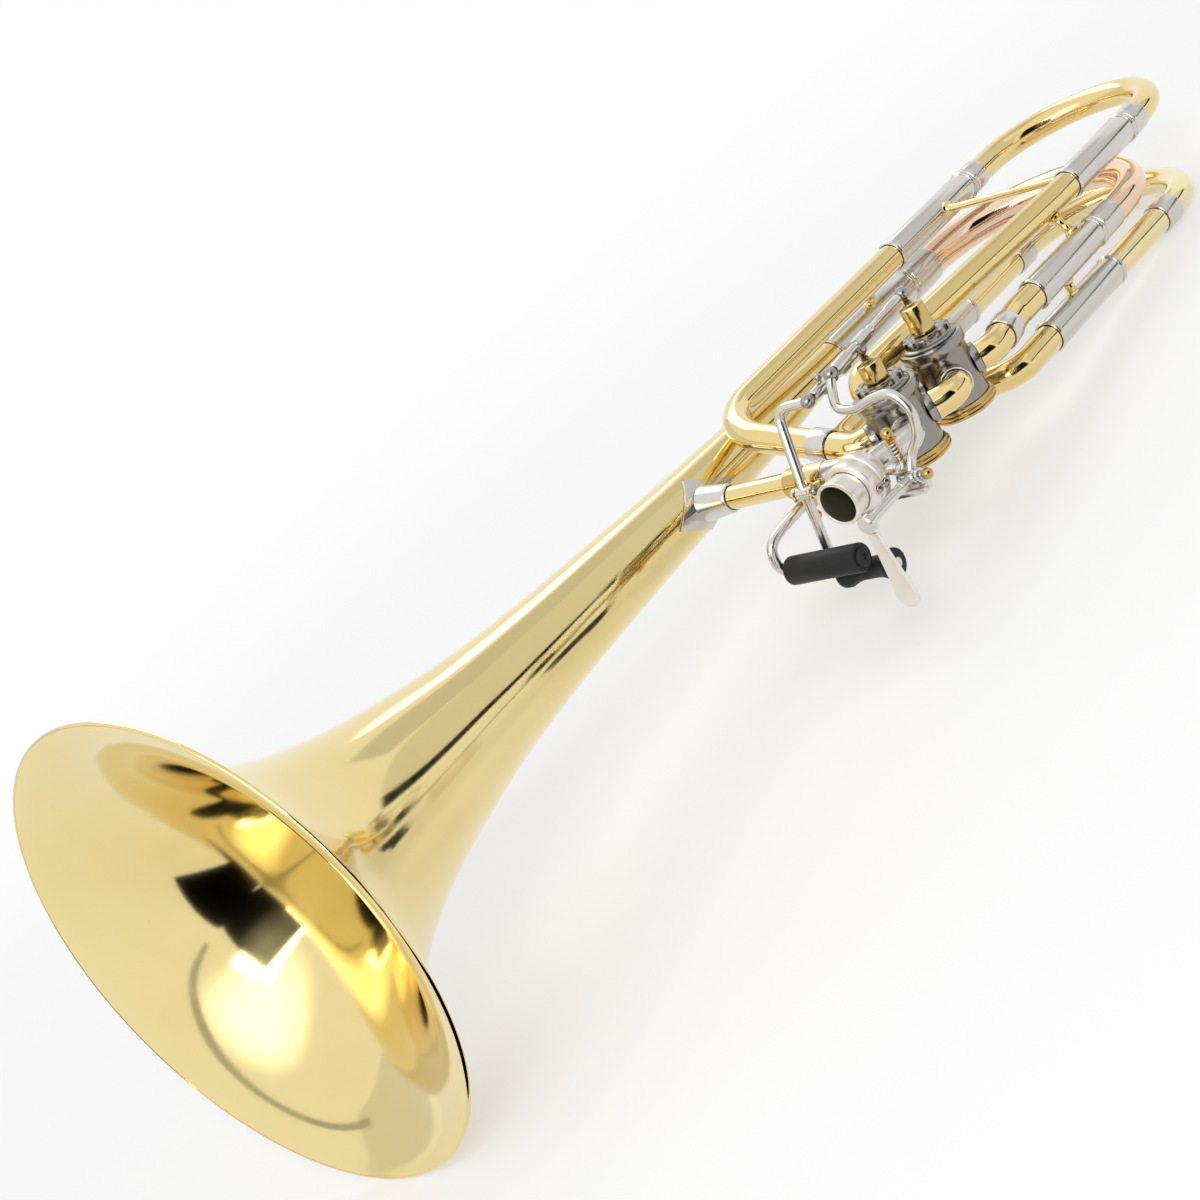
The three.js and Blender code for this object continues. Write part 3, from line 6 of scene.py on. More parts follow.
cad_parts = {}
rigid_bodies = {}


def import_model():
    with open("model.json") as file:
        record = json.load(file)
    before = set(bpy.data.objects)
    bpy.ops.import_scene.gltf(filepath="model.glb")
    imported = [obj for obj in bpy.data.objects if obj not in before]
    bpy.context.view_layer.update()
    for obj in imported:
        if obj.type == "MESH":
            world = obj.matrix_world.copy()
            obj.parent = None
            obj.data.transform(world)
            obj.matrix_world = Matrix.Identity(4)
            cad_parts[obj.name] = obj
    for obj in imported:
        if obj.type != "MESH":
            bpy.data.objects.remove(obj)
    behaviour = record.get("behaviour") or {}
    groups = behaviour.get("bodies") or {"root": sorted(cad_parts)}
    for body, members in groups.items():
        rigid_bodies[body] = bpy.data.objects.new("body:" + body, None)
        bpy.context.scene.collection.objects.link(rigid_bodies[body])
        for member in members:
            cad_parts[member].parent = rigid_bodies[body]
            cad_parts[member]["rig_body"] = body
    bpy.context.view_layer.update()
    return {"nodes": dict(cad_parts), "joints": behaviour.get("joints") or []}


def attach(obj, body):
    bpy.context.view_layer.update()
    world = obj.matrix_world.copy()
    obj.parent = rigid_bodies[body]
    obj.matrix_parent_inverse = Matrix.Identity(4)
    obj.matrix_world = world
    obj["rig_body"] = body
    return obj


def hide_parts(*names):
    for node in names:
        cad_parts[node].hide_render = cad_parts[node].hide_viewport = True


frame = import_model()
scene = bpy.context.scene
scene.view_settings.view_transform = "Standard"

# Lengths are in millimetres in the horn's own frame: x from the bell to the neckpipe,
# y from the rim to the tail, z along the valves' spindles.
mm = 0.001
alongX, alongY, alongZ = Vector((1, 0, 0)), Vector((0, 1, 0)), Vector((0, 0, 1))
valveOffset, valveOnePlace, valveTwoPlace = 123.5, 396, 442
neckOffset, bracePlace = 134, 355
joints = {joint["name"]: joint for joint in frame["joints"]}
hornAxes = [Vector(joints[name]["axis"]) for name in ("lever_1_pivot", "main_tuning_slide", "rotor_1_turn")]
hornTurn = Matrix(hornAxes).transposed()
valveOneSpot = Vector((valveOffset, valveOnePlace, 0)) * mm
hornOrigin = Vector(joints["rotor_1_turn"]["pos_m"]) - hornTurn @ valveOneSpot
hornToWorld = Matrix.Translation(hornOrigin) @ hornTurn.to_4x4()
print("stage: frame loaded")


# Finishes

class Wire:
    def __init__(self, maker, socket):
        self.maker, self.socket = maker, socket

    def calc(self, operation, first, second):
        return self.maker.node("ShaderNodeMath", {"operation": operation}, {0: first, 1: second})

    def __add__(self, other): return self.calc("ADD", self, other)
    def __radd__(self, other): return self.calc("ADD", other, self)
    def __mul__(self, other): return self.calc("MULTIPLY", self, other)
    def __rmul__(self, other): return self.calc("MULTIPLY", other, self)


class Maker:
    def __init__(self, holder):
        holder.use_nodes = True
        self.tree = holder.node_tree
        self.tree.nodes.clear()

    def node(self, kind, settings=None, values=None, output=0):
        made = self.tree.nodes.new(kind)
        for key, value in (settings or {}).items():
            if key == "stops":
                for element, (place, shade) in zip(made.color_ramp.elements, value):
                    element.position, element.color = place, (shade, shade, shade, 1)
            else:
                setattr(made, key, value)
        for key, value in (values or {}).items():
            if isinstance(value, Wire):
                self.tree.links.new(value.socket, made.inputs[key])
            else:
                made.inputs[key].default_value = value
        return Wire(self, made.outputs[output]) if made.outputs else made

    def noise(self, place, scale, detail, twist=0):
        return self.node("ShaderNodeTexNoise", {}, {
            "Vector": place, "Scale": scale, "Detail": detail, "Distortion": twist})

    def mask(self, value, *stops):
        return self.node("ShaderNodeValToRGB", {"stops": stops}, {0: value})

    def mix(self, share, first, second):
        return self.node("ShaderNodeMix", {"data_type": "RGBA"}, {0: share, 6: first, 7: second}, 2)


# Clouds tint the metal, drawn lines run along it, spots and smears age it and edges wear paler.
def makeFinish(name, look):
    material = bpy.data.materials.new(name)
    maker = Maker(material)
    place = maker.node("ShaderNodeTexCoord", output="Object")
    stretched = maker.node("ShaderNodeMapping", {}, {"Vector": place, "Scale": look["drawnScale"]})
    spots = maker.node("ShaderNodeTexVoronoi", {"feature": "F1"}, {"Vector": place, "Scale": look["spotScale"]})
    edge = maker.node("ShaderNodeNewGeometry", output="Pointiness")
    fine = maker.noise(place, look["fineScale"], 4)
    drawn = maker.noise(stretched, 1, 2)
    clouds = maker.mask(maker.noise(place, look["cloudScale"], 3), (0.36, 0), (0.66, 1))
    smears = maker.mask(maker.noise(place, look["smearScale"], 5, look["smearTwist"]), (0.5, 0), (0.72, 1))
    spots = maker.mask(spots, (0.02, 1), (0.07, 0))
    edges = maker.mask(edge, (0.52, 0), (0.6, 1))
    colour = maker.mix(clouds * look["cloudShare"], (*look["base"], 1), (*look["deep"], 1))
    colour = maker.mix(drawn * look["drawnShare"], colour, (*look["pale"], 1))
    colour = maker.mix(spots * smears * look["spotShare"], colour, (*look["spot"], 1))
    colour = maker.mix(edges * look["edgeShare"], colour, (*look["worn"], 1))
    rough = look["rough"] + fine * look["roughFine"] + smears * look["roughSmear"] + edges * look["roughEdge"]
    bump = maker.node("ShaderNodeBump", {}, {
        "Strength": look["bump"], "Distance": look["bumpDepth"],
        "Height": fine * look["bumpFine"] + drawn * look["bumpDrawn"]})
    shader = maker.node("ShaderNodeBsdfPrincipled", {}, {
        "Base Color": colour, "Metallic": look["metal"], "Roughness": rough, "Normal": bump,
        "Coat Weight": look["coat"], "Coat Roughness": look["coatRough"], "Specular IOR Level": look["gloss"]})
    maker.node("ShaderNodeOutputMaterial", {}, {0: shader})
    return material


brassLook = {
    "base": (0.83, 0.65, 0.28), "deep": (0.77, 0.56, 0.2), "pale": (0.88, 0.74, 0.4),
    "spot": (0.42, 0.27, 0.1), "worn": (0.88, 0.74, 0.42),
    "cloudScale": 9, "fineScale": 900, "smearScale": 28, "smearTwist": 1.4, "spotScale": 120,
    "drawnScale": (260, 14, 260), "cloudShare": 0.5, "drawnShare": 0.22, "spotShare": 0.35, "edgeShare": 0.3,
    "rough": 0.075, "roughFine": 0.03, "roughSmear": 0.035, "roughEdge": 0.03,
    "bump": 0.05, "bumpFine": 0.25, "bumpDrawn": 0.1, "bumpDepth": 0.0004,
    "metal": 1, "coat": 0.35, "coatRough": 0.04, "gloss": 0.5}
# Each finish is the brass with these values changed.
finishValues = {
    "brass": ("lacqueredBrass", {}),
    "bellBrass": ("spunBellBrass", {
        "base": (0.84, 0.69, 0.32), "deep": (0.79, 0.61, 0.24), "pale": (0.89, 0.77, 0.44),
        "drawnScale": (30, 220, 30), "drawnShare": 0.15}),
    "paleBrass": ("paleBrass", {
        "base": (0.88, 0.77, 0.42), "deep": (0.83, 0.69, 0.32), "pale": (0.92, 0.84, 0.55)}),
    "roseBrass": ("roseBrass", {
        "base": (0.9, 0.65, 0.47), "deep": (0.82, 0.53, 0.34), "pale": (0.9, 0.68, 0.5),
        "worn": (0.9, 0.68, 0.5)}),
    "goldBrass": ("polishedBrass", {
        "base": (0.58, 0.39, 0.11), "deep": (0.47, 0.29, 0.07), "pale": (0.7, 0.51, 0.2),
        "rough": 0.1, "coat": 0.2}),
    "nickel": ("nickelSilver", {
        "base": (0.66, 0.63, 0.585), "deep": (0.58, 0.55, 0.5), "pale": (0.76, 0.74, 0.71),
        "spot": (0.33, 0.29, 0.22), "worn": (0.85, 0.84, 0.82),
        "rough": 0.14, "roughFine": 0.07, "coat": 0.15, "drawnShare": 0.4, "bump": 0.08}),
    "satinNickel": ("satinNickel", {
        "base": (0.3, 0.28, 0.245), "deep": (0.22, 0.205, 0.175), "pale": (0.36, 0.34, 0.3),
        "spot": (0.25, 0.22, 0.18), "worn": (0.6, 0.58, 0.55),
        "rough": 0.17, "roughFine": 0.04, "coat": 0.15, "drawnShare": 0.2, "bump": 0.02}),
    "steel": ("darkSteel", {
        "base": (0.36, 0.36, 0.37), "deep": (0.28, 0.28, 0.29), "pale": (0.48, 0.48, 0.49),
        "spot": (0.15, 0.13, 0.12), "worn": (0.7, 0.7, 0.7), "rough": 0.14, "coat": 0.0, "bump": 0.015}),
    "ivoryNickel": ("ivoryNickel", {
        "base": (0.84, 0.79, 0.73), "deep": (0.78, 0.72, 0.65), "pale": (0.9, 0.86, 0.82),
        "spot": (0.4, 0.34, 0.26), "worn": (0.9, 0.88, 0.85),
        "rough": 0.27, "roughFine": 0.08, "coat": 0.1, "metal": 0.85}),
    "blackGrip": ("blackGrip", {
        "base": (0.012, 0.013, 0.015), "deep": (0.007, 0.008, 0.009), "pale": (0.03, 0.031, 0.034),
        "spot": (0.05, 0.05, 0.05), "worn": (0.06, 0.06, 0.065), "fineScale": 1500,
        "rough": 0.38, "roughFine": 0.14, "roughSmear": 0.08, "bump": 0.16,
        "metal": 0, "coat": 0.0, "gloss": 0.2}),
    "shadowedBore": ("shadowedBore", {
        "base": (0.075, 0.068, 0.035), "deep": (0.05, 0.044, 0.022), "pale": (0.1, 0.088, 0.06),
        "spot": (0.02, 0.02, 0.01), "rough": 0.4, "metal": 0.3, "coat": 0.0, "gloss": 0.2}),
}
finishes = {key: makeFinish(name, {**brassLook, **changes}) for key, (name, changes) in finishValues.items()}
print("stage: finishes made")


# Modelling tools

def clearSelection():
    if bpy.context.object and bpy.context.object.mode != "OBJECT":
        bpy.ops.object.mode_set(mode="OBJECT")
    bpy.ops.object.select_all(action="DESELECT")


def pick(item):
    clearSelection()
    item.select_set(True)
    bpy.context.view_layer.objects.active = item


# Opens a form for editing with all of it selected.
def openUp(item):
    pick(item)
    bpy.ops.object.mode_set(mode="EDIT")
    bpy.ops.mesh.select_all(action="SELECT")


# Closes seams and poles and turns the faces outward.
def closeUp(item):
    openUp(item)
    bpy.ops.mesh.remove_doubles(threshold=1e-6)
    bpy.ops.mesh.normals_make_consistent(inside=False)
    bpy.ops.object.mode_set(mode="OBJECT")
    return item


# A line drawn by extruding one corner from point to point.
def drawLine(points):
    clearSelection()
    bpy.ops.mesh.primitive_plane_add(size=0.001)
    line = bpy.context.object
    bpy.ops.object.mode_set(mode="EDIT")
    bpy.ops.mesh.select_mode(type="VERT")
    bpy.ops.mesh.select_all(action="SELECT")
    bpy.ops.mesh.merge(type="CENTER")
    bpy.ops.transform.translate(value=points[0])
    for before, after in zip(points, points[1:]):
        bpy.ops.mesh.extrude_region_move(TRANSFORM_OT_translate={"value": after - before})
    bpy.ops.object.mode_set(mode="OBJECT")
    return line


# A profile of (radius, height) turned about z.
def turnProfile(profile, steps=64):
    line = drawLine([Vector((radius, 0, height)) * mm for radius, height in profile])
    openUp(line)
    bpy.ops.mesh.spin(steps=steps, angle=2 * math.pi, center=(0, 0, 0), axis=alongZ)
    return closeUp(line)


# A profile that ends where it starts, up the outside and back down the inside.
def ringProfile(outer, inner=()):
    return [*outer, *reversed(inner), outer[0]]


# The same with a plain bore from end to end.
def boredProfile(outer, bore):
    return ringProfile(outer, [(bore, outer[0][1]), (bore, outer[-1][1])])


# A profile whose second half is the first one turned about.
def mirrored(half, length):
    return [*half, *[(radius, length - height) for radius, height in reversed(half)]]


# The way that this angle gives in the plane across the valves' spindles.
def heading(degrees):
    return Vector((math.cos(math.radians(degrees)), math.sin(math.radians(degrees)), 0))


# Moves a form made about z to a place and heading of the horn.
def stand(item, place, way=alongZ, roll=0):
    turn = alongZ.rotation_difference(way).to_matrix().to_4x4()
    item.matrix_world = (hornToWorld @ Matrix.Translation(Vector(place) * mm) @ turn
                         @ Matrix.Rotation(math.radians(roll), 4, "Z") @ item.matrix_world)
    pick(item)
    bpy.ops.object.transform_apply(location=True, rotation=True, scale=True)
    return item


# A path whose corners are rounded to the given radii, with a point at least every few degrees.
def filletPath(points, radii, step=4):
    points = [Vector(point) for point in points]
    if not isinstance(radii, (list, tuple)):
        radii = [radii] * (len(points) - 2)
    path = [points[0]]
    for before, corner, after, radius in zip(points, points[1:], points[2:], radii):
        wayIn, wayOut = (corner - before).normalized(), (after - corner).normalized()
        turn = wayIn.angle(wayOut)
        axis = wayIn.cross(wayOut).normalized()
        start = corner - wayIn * radius * math.tan(turn / 2)
        centre = start + axis.cross(wayIn) * radius
        steps = max(3, math.ceil(math.degrees(turn) / step))
        for k in range(steps + 1):
            path.append(centre + Matrix.Rotation(turn * k / steps, 3, axis) @ (start - centre))
    path.append(points[-1])
    shortest = 0.05
    return [point for i, point in enumerate(path) if i == 0 or (point - path[i - 1]).length > shortest]


# A smooth path through points, evenly stepped.
def smoothPath(points, steps):
    points = [Vector(point) for point in points]
    padded = [points[0] * 2 - points[1], *points, points[-1] * 2 - points[-2]]
    dense, share = [], 20
    for p0, p1, p2, p3 in zip(padded, padded[1:], padded[2:], padded[3:]):
        gap0, gap1, gap2 = [max(1e-4, (b - a).length ** 0.5) for a, b in ((p0, p1), (p1, p2), (p2, p3))]
        t1 = ((p1 - p0) / gap0 - (p2 - p0) / (gap0 + gap1) + (p2 - p1) / gap1) * gap1
        t2 = ((p2 - p1) / gap1 - (p3 - p1) / (gap1 + gap2) + (p3 - p2) / gap2) * gap1
        bend, sweep = p1 * -3 + p2 * 3 - t1 * 2 - t2, p1 * 2 - p2 * 2 + t1 + t2
        dense += [p1 + t1 * t + bend * t ** 2 + sweep * t ** 3 for t in spread(0, 1, share)[:-1]]
    return evenly([*dense, points[-1]], steps)


def evenly(path, steps):
    runs = [0]
    for a, b in zip(path, path[1:]):
        runs.append(runs[-1] + (b - a).length)
    even, i = [], 0
    for want in spread(0, runs[-1], steps):
        while i < len(path) - 2 and runs[i + 1] < want:
            i += 1
        share = (want - runs[i]) / max(1e-9, runs[i + 1] - runs[i])
        even.append(path[i].lerp(path[i + 1], min(1, share)))
    return even


def spread(start, end, count):
    return [start + (end - start) * k / count for k in range(count + 1)]


def readOff(values, names):
    return [values[name] for name in names.split()]


def addModifier(item, kind, values):
    pick(item)
    made = item.modifiers.new(kind.lower(), kind)
    for key, value in values.items():
        setattr(made, key, value)
    bpy.ops.object.modifier_apply(modifier=made.name)


# A tube or wire along a path in the horn's frame, drawn as a curve with a round bevel.
def drawTube(path, radius, wall=0, radiusAt=None, sides=9):
    clearSelection()
    bpy.ops.curve.primitive_bezier_curve_add()
    data = bpy.context.object.data
    data.splines.clear()
    data.dimensions = "3D"
    data.twist_mode = "MINIMUM"
    spline = data.splines.new("POLY")
    spline.points.add(len(path) - 1)
    whole = sum((b - a).length for a, b in zip(path, path[1:]))
    run = 0
    for i, point in enumerate(path):
        run += (point - path[i - 1]).length if i else 0
        spline.points[i].co = (*(hornToWorld @ (point * mm)), 1)
        spline.points[i].radius = radiusAt(run / whole) / radius if radiusAt else 1
    data.bevel_depth = radius * mm
    data.bevel_resolution = sides
    data.use_fill_caps = not wall
    bpy.ops.object.convert(target="MESH")
    tube = closeUp(bpy.context.object)
    if wall:
        addModifier(tube, "SOLIDIFY", {"thickness": wall * mm, "offset": -1, "use_even_offset": True})
    return tube


# A flat outline filled and raised to a height.
def drawPlan(points, height):
    plan = drawLine([Vector((x, y, 0)) * mm for x, y in points])
    openUp(plan)
    bpy.ops.mesh.edge_face_add()
    bpy.ops.mesh.extrude_region_move(TRANSFORM_OT_translate={"value": (0, 0, height * mm)})
    return closeUp(plan)


# Cuts a form by another, which is then deleted.
def trimForm(form, cutter, way):
    addModifier(form, "BOOLEAN", {"operation": way, "solver": "EXACT", "object": cutter})
    pick(cutter)
    bpy.ops.object.delete()
    closeUp(form)


def drawBlock(size, place, way=alongZ, roll=0, edge=0.35):
    clearSelection()
    bpy.ops.mesh.primitive_cube_add(size=1)
    block = bpy.context.object
    block.scale = Vector(size) * mm
    bpy.ops.object.transform_apply(scale=True)
    addModifier(block, "BEVEL", {"width": edge * mm, "segments": 3})
    return stand(block, place, way, roll)


# A ball with a small flat on top, at this share of its radius.
def drawBall(place, radius, flat=0.86):
    angles = spread(math.acos(flat), math.pi, 14)[:-1]
    line = [(radius * math.sin(angle), radius * math.cos(angle)) for angle in angles]
    return stand(turnProfile([(0, radius * flat), *line, (0, -radius)], 28), place)


# A round bar from one distance to another along a way from a place.
def drawRod(place, way, start, end, radius, endRadius=None, edge=0.3, steps=28):
    length, last = abs(end - start), endRadius or radius
    line = [(0, 0), (radius - edge, 0), (radius, edge), (last, length - edge), (last - edge, length),
            (0, length)]
    return stand(turnProfile(line, steps), Vector(place) + way * start, way * (end - start))


def joinUp(forms):
    clearSelection()
    for form in forms:
        form.select_set(True)
    bpy.context.view_layer.objects.active = forms[0]
    bpy.ops.object.join()
    return bpy.context.object


def tint(form, finish):
    form.data.materials.clear()
    form.data.materials.append(finishes[finish])
    return form


# Gives a form its finish, its name and the node that it stands for.
def finishPiece(form, node, finish, angle=32):
    pick(form)
    if not form.data.materials:
        form.data.materials.append(finishes[finish])
    bpy.ops.object.shade_smooth_by_angle(angle=math.radians(angle))
    form.name = node + "_piece"
    form.data.name = form.name
    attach(form, frame["nodes"][node]["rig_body"])
    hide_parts(node)


def turnPiece(node, profile, steps, place, way, finish):
    finishPiece(stand(turnProfile(profile, steps), place, way), node, finish)


# Bell
bellValues = {"rim": 126.25, "length": 510, "wall": 0.8, "tailBore": 9.85, "tailWall": 0.45, "bead": 1.25,
              "steps": 128, "rings": 84, "ringCrowding": 1.9}
# Share of the way from rim to tail, and share of the way from the rim's radius to the tail's.
flareShares = [(0, 0), (0.006, 0.085), (0.02, 0.2), (0.045, 0.335), (0.085, 0.475), (0.135, 0.59), (0.2, 0.69),
               (0.28, 0.77), (0.36, 0.83), (0.47, 0.878), (0.6, 0.912), (0.72, 0.94), (0.85, 0.962), (0.982, 1),
               (1, 1)]


# A smooth curve through the table that never turns back on itself.
def monotoneCurve(table):
    gaps = [(b[0] - a[0], (b[1] - a[1]) / (b[0] - a[0])) for a, b in zip(table, table[1:])]
    slopes = [gaps[0][1]]
    for (h0, d0), (h1, d1) in zip(gaps, gaps[1:]):
        slopes.append(0 if d0 * d1 <= 0 else 3 * (h0 + h1) / ((2 * h1 + h0) / d0 + (h1 + 2 * h0) / d1))
    slopes.append(gaps[-1][1])

    def at(x):
        i = max(0, min(len(table) - 2, sum(1 for place, _ in table if place <= x) - 1))
        (x0, y0), (x1, y1) = table[i], table[i + 1]
        h = x1 - x0
        t = (x - x0) / h
        return (y0 * (1 + 2 * t) * (1 - t) ** 2 + slopes[i] * h * t * (1 - t) ** 2
                + y1 * t * t * (3 - 2 * t) + slopes[i + 1] * h * t * t * (t - 1))
    return at


flareCurve = monotoneCurve(flareShares)


def flareRadius(share):
    tail = bellValues["tailBore"] + bellValues["tailWall"]
    return bellValues["rim"] + (tail - bellValues["rim"]) * flareCurve(share)


def makeBell():
    length, bead, rings = readOff(bellValues, "length bead rings")
    shares = [(k / rings) ** bellValues["ringCrowding"] for k in range(1, rings + 1)]
    outer = [(flareRadius(share), share * length) for share in shares if share * length > bead * 2]
    inner, near = [], 0.001
    for share in [0.8 * near, *shares]:
        slope = (flareRadius(min(1, share + near)) - flareRadius(max(0, share - near))) / (2 * near * length)
        slope = slope * 2 if share < near else slope
        slant = math.hypot(1, slope)
        wall = bellValues["wall"] + (bellValues["tailWall"] - bellValues["wall"]) * share
        inner.append((flareRadius(share) - wall / slant, share * length + wall * slope / slant))
    inner[-1] = (bellValues["tailBore"], length)
    inner = [point for i, point in enumerate(inner) if i == 0 or point[1] > inner[i - 1][1]]
    middle, height = bellValues["rim"] - bead, bead * 0.55
    edge = [(middle + bead * math.cos(a), height + bead * math.sin(a)) for a in spread(-1.9, 2.3, 12)]
    bell = turnProfile(ringProfile([*edge, *outer], inner), bellValues["steps"])
    finishPiece(stand(bell, (0, 0, 0), alongY), "bell", "bellBrass", 50)


makeBell()
print("stage: bell")


# Slides and sleeves
tubeValues = {"radius": 7.6, "bore": 7.15, "wall": 0.45, "bead": 0.6, "beadLength": 2.6, "ferruleWall": 0.8,
              "shoulder": 3, "fit": 0.3}
tubeRadius, tubeBore = tubeValues["radius"], tubeValues["bore"]


# A tube with a bead rolled at each end.
def sleeveProfile(length, bore, radius):
    bead, run = tubeValues["bead"], tubeValues["beadLength"]
    roll = [(radius + bead * math.sin(math.pi * t) ** 0.6, 0.25 + run * t) for t in spread(0.06, 0.94, 7)]
    half = [(radius - 0.15, 0), *roll, (radius - 0.12, run + 0.35), (radius, run + 0.7)]
    return boredProfile(mirrored(half, length), bore)


# An inner slide that ends in a stepped ferrule.
def innerProfile(insert, ferrule, radius, bore):
    shoulder, seat = tubeValues["shoulder"], radius + tubeValues["fit"]
    crown = seat + tubeValues["ferruleWall"]
    neck, step = crown - 0.38, crown - 0.22
    outer = [(radius, -insert), (radius, 0.3), (crown - 0.5, 0.3), (crown - 0.1, 0.6), (crown, 1.1),
             (crown, shoulder - 0.5), (crown - 0.1, shoulder), (neck, shoulder + 0.25), (neck, shoulder + 0.7),
             (step, shoulder + 1.1), (step, ferrule - 1.4), (crown - 0.3, ferrule - 0.7),
             (crown - 0.55, ferrule - 0.15), (crown - 0.75, ferrule)]
    return ringProfile(outer, [(bore, -insert), (bore, shoulder), (seat, shoulder), (seat, ferrule)])


def bandProfile(length):
    half, seat = length / 2, tubeRadius + tubeValues["fit"]
    crown = seat + tubeValues["ferruleWall"]
    outer = mirrored([(crown - 0.45, -half), (crown - 0.12, -half + 0.3), (crown, -half + 0.8)], 0)
    return boredProfile(outer, seat)


def makeBand(node, length, place, way):
    turnPiece(node, bandProfile(length), 64, place, way, "nickel")


# Length, bore, radius and place of each outer sleeve.
sleeveValues = {
    "bell_slide_sleeve": (79, 10.6, 11.1, (0, 504, 0)),
    "neck_slide_sleeve": (68, 7.9, 8.4, (neckOffset, 515, 0)),
    "loop_1_out_sleeve": (84, 7.9, 8.4, (16, 568, 24)),
    "loop_1_back_sleeve": (66, 7.9, 8.4, (122, 597, 24)),
    "loop_2_near_sleeve": (72, 7.9, 8.4, (133, 512, -23.5)),
    "loop_2_far_sleeve": (79, 7.9, 8.4, (32, 505, -23.5)),
}
for node, (length, bore, radius, place) in sleeveValues.items():
    turnPiece(node, sleeveProfile(length, bore, radius), 72, place, alongY, "nickel")

# Insert, length of the ferrule, radius, bore and place of each inner slide.
innerValues = {
    "main_inner_bell_side": (58, 26, 10.3, 9.85, (0, 583, 0)),
    "main_inner_neck_side": (58, 20, tubeRadius, tubeBore, (neckOffset, 583, 0)),
    "loop_1_inner_out": (56, 14, tubeRadius, tubeBore, (16, 652, 24)),
    "loop_1_inner_back": (56, 14, tubeRadius, tubeBore, (122, 663, 24)),
}
for node, (insert, ferrule, radius, bore, place) in innerValues.items():
    turnPiece(node, innerProfile(insert, ferrule, radius, bore), 72, place, alongY, "nickel")

loopTwoValues = {"near": 133, "far": 32, "height": -23.5, "level": 637, "insert": 69, "ferrule": 15}
for side in ("near", "far"):
    place = Vector((loopTwoValues[side], loopTwoValues["level"], loopTwoValues["height"]))
    insert, half = loopTwoValues["insert"], loopTwoValues["ferrule"] / 2
    outer = [(tubeRadius, -insert), (tubeRadius, tubeValues["shoulder"])]
    inner = boredProfile(outer, tubeBore)
    turnPiece(f"loop_2_{side}_inner", inner, 64, place, alongY, "paleBrass")
    makeBand(f"loop_2_{side}_ferrule", half * 2, place + alongY * half, alongY)
print("stage: sleeves and inner slides")


# Bent tubes
bendValues = {"start": 17.85, "reach": 7.8, "knuckle": 8.3, "elbow": 10.5, "bow": 37, "band": 12,
              "linkBand": 4.2, "gap": 0.15}
crookValues = {
    "main_crook": {
        "offsets": (0, neckOffset), "seats": (586.3, 586.3), "top": 676.6, "height": 0,
        "radii": (10.3, tubeRadius), "wall": 0.45, "sides": 11, "finish": "roseBrass", "slot": "rose_brass"},
    "loop_1_crook": {
        "offsets": (16, 122), "seats": (655.3, 666.3), "top": 730.35, "height": 24,
        "radii": (tubeRadius, tubeRadius), "wall": 0.45, "sides": 9, "finish": "brass", "slot": "brass"},
    "loop_2_crook": {
        "offsets": (32, 133), "seats": (640.3, 640.3), "top": 703.1, "height": -23.5,
        "radii": (7.27, 7.27), "wall": 0.4, "sides": 9, "finish": "paleBrass", "slot": "pale_brass"},
}


def valveCentre(place, height=0):
    return Vector((valveOffset, place, height))


# The start and the first corner of the tube at a valve's port.
def portRun(place, signX, signY):
    way, start = Vector((signX, signY, 0)).normalized(), bendValues["start"]
    return [valveCentre(place) + way * reach for reach in (start, start + bendValues["reach"])]


def makeTube(node, points, radii, finish="brass"):
    tube = drawTube(filletPath(points, radii), tubeRadius, tubeValues["wall"])
    finishPiece(tube, node, finish, 50)


# The link between the valves, the gooseneck before them and the neckpipe behind them.
def makeNeck():
    linkBand, gap, reach = bendValues["linkBand"], bendValues["gap"], (valveTwoPlace - valveOnePlace) / 2
    linkStart, linkEnd = portRun(valveOnePlace, 1, 1)[0], portRun(valveTwoPlace, 1, -1)[0]
    linkCorner = Vector((valveOffset + reach, valveOnePlace + reach, 0))
    way = (linkEnd - linkCorner).normalized()
    linkRadius = (linkCorner - linkStart).length - linkBand - 2 * gap
    makeTube("valve_link", [linkStart, linkCorner, linkEnd], linkRadius)
    makeBand("valve_link_band", linkBand, linkEnd - way * (linkBand / 2 + gap), way)

    gooseneck = [*portRun(valveOnePlace, 1, -1), (neckOffset, 353, 0), (neckOffset, 342, 0)]
    makeTube("gooseneck", gooseneck, [9, 9], "nickel")

    start, corner = portRun(valveTwoPlace, 1, 1)
    bend = Vector((neckOffset, 497, 0))
    makeTube("neckpipe", [start, corner, bend, (neckOffset, 521.4, 0)], [11.62, 16.6])
    makeBand("neckpipe_band", bendValues["band"], corner.lerp(bend, 0.5), bend - corner)


def makeLoopBends():
    knuckle, elbow, band, gap = readOff(bendValues, "knuckle elbow band gap")
    start, corner = portRun(valveOnePlace, -1, -1)
    bow = Vector((16, 386, 24))
    way = (bow - corner).normalized()
    joint = corner + way * (14 + band / 2)
    makeTube("loop_1_knuckle", [start, corner, joint - way * gap], knuckle)
    makeBand("loop_1_knuckle_band", band, joint, way)
    makeTube("loop_1_bow", [joint + way * gap, bow, (16, 574.4, 24)], bendValues["bow"])
    back = [*portRun(valveOnePlace, -1, 1), (93, 409, 19), (122, 585, 24), (122, 603.4, 24)]
    makeTube("loop_1_return", back, [knuckle, elbow, 74])

    near, far, low = readOff(loopTwoValues, "near far height")
    start, corner = portRun(valveTwoPlace, -1, 1)
    nearRun = [start, corner, (98, corner.y + knuckle, low), (near, 480, low), (near, 518.4, low)]
    makeTube("loop_2_near_bend", nearRun, [knuckle, elbow, 14])
    start, corner = portRun(valveTwoPlace, -1, -1)
    level = corner.y + bendValues["reach"]
    farRun = [start, corner, (corner.x - knuckle, level, low), (far, level, low), (far, 511.4, low)]
    makeTube("loop_2_far_bend", farRun, [knuckle, elbow, 22.4])


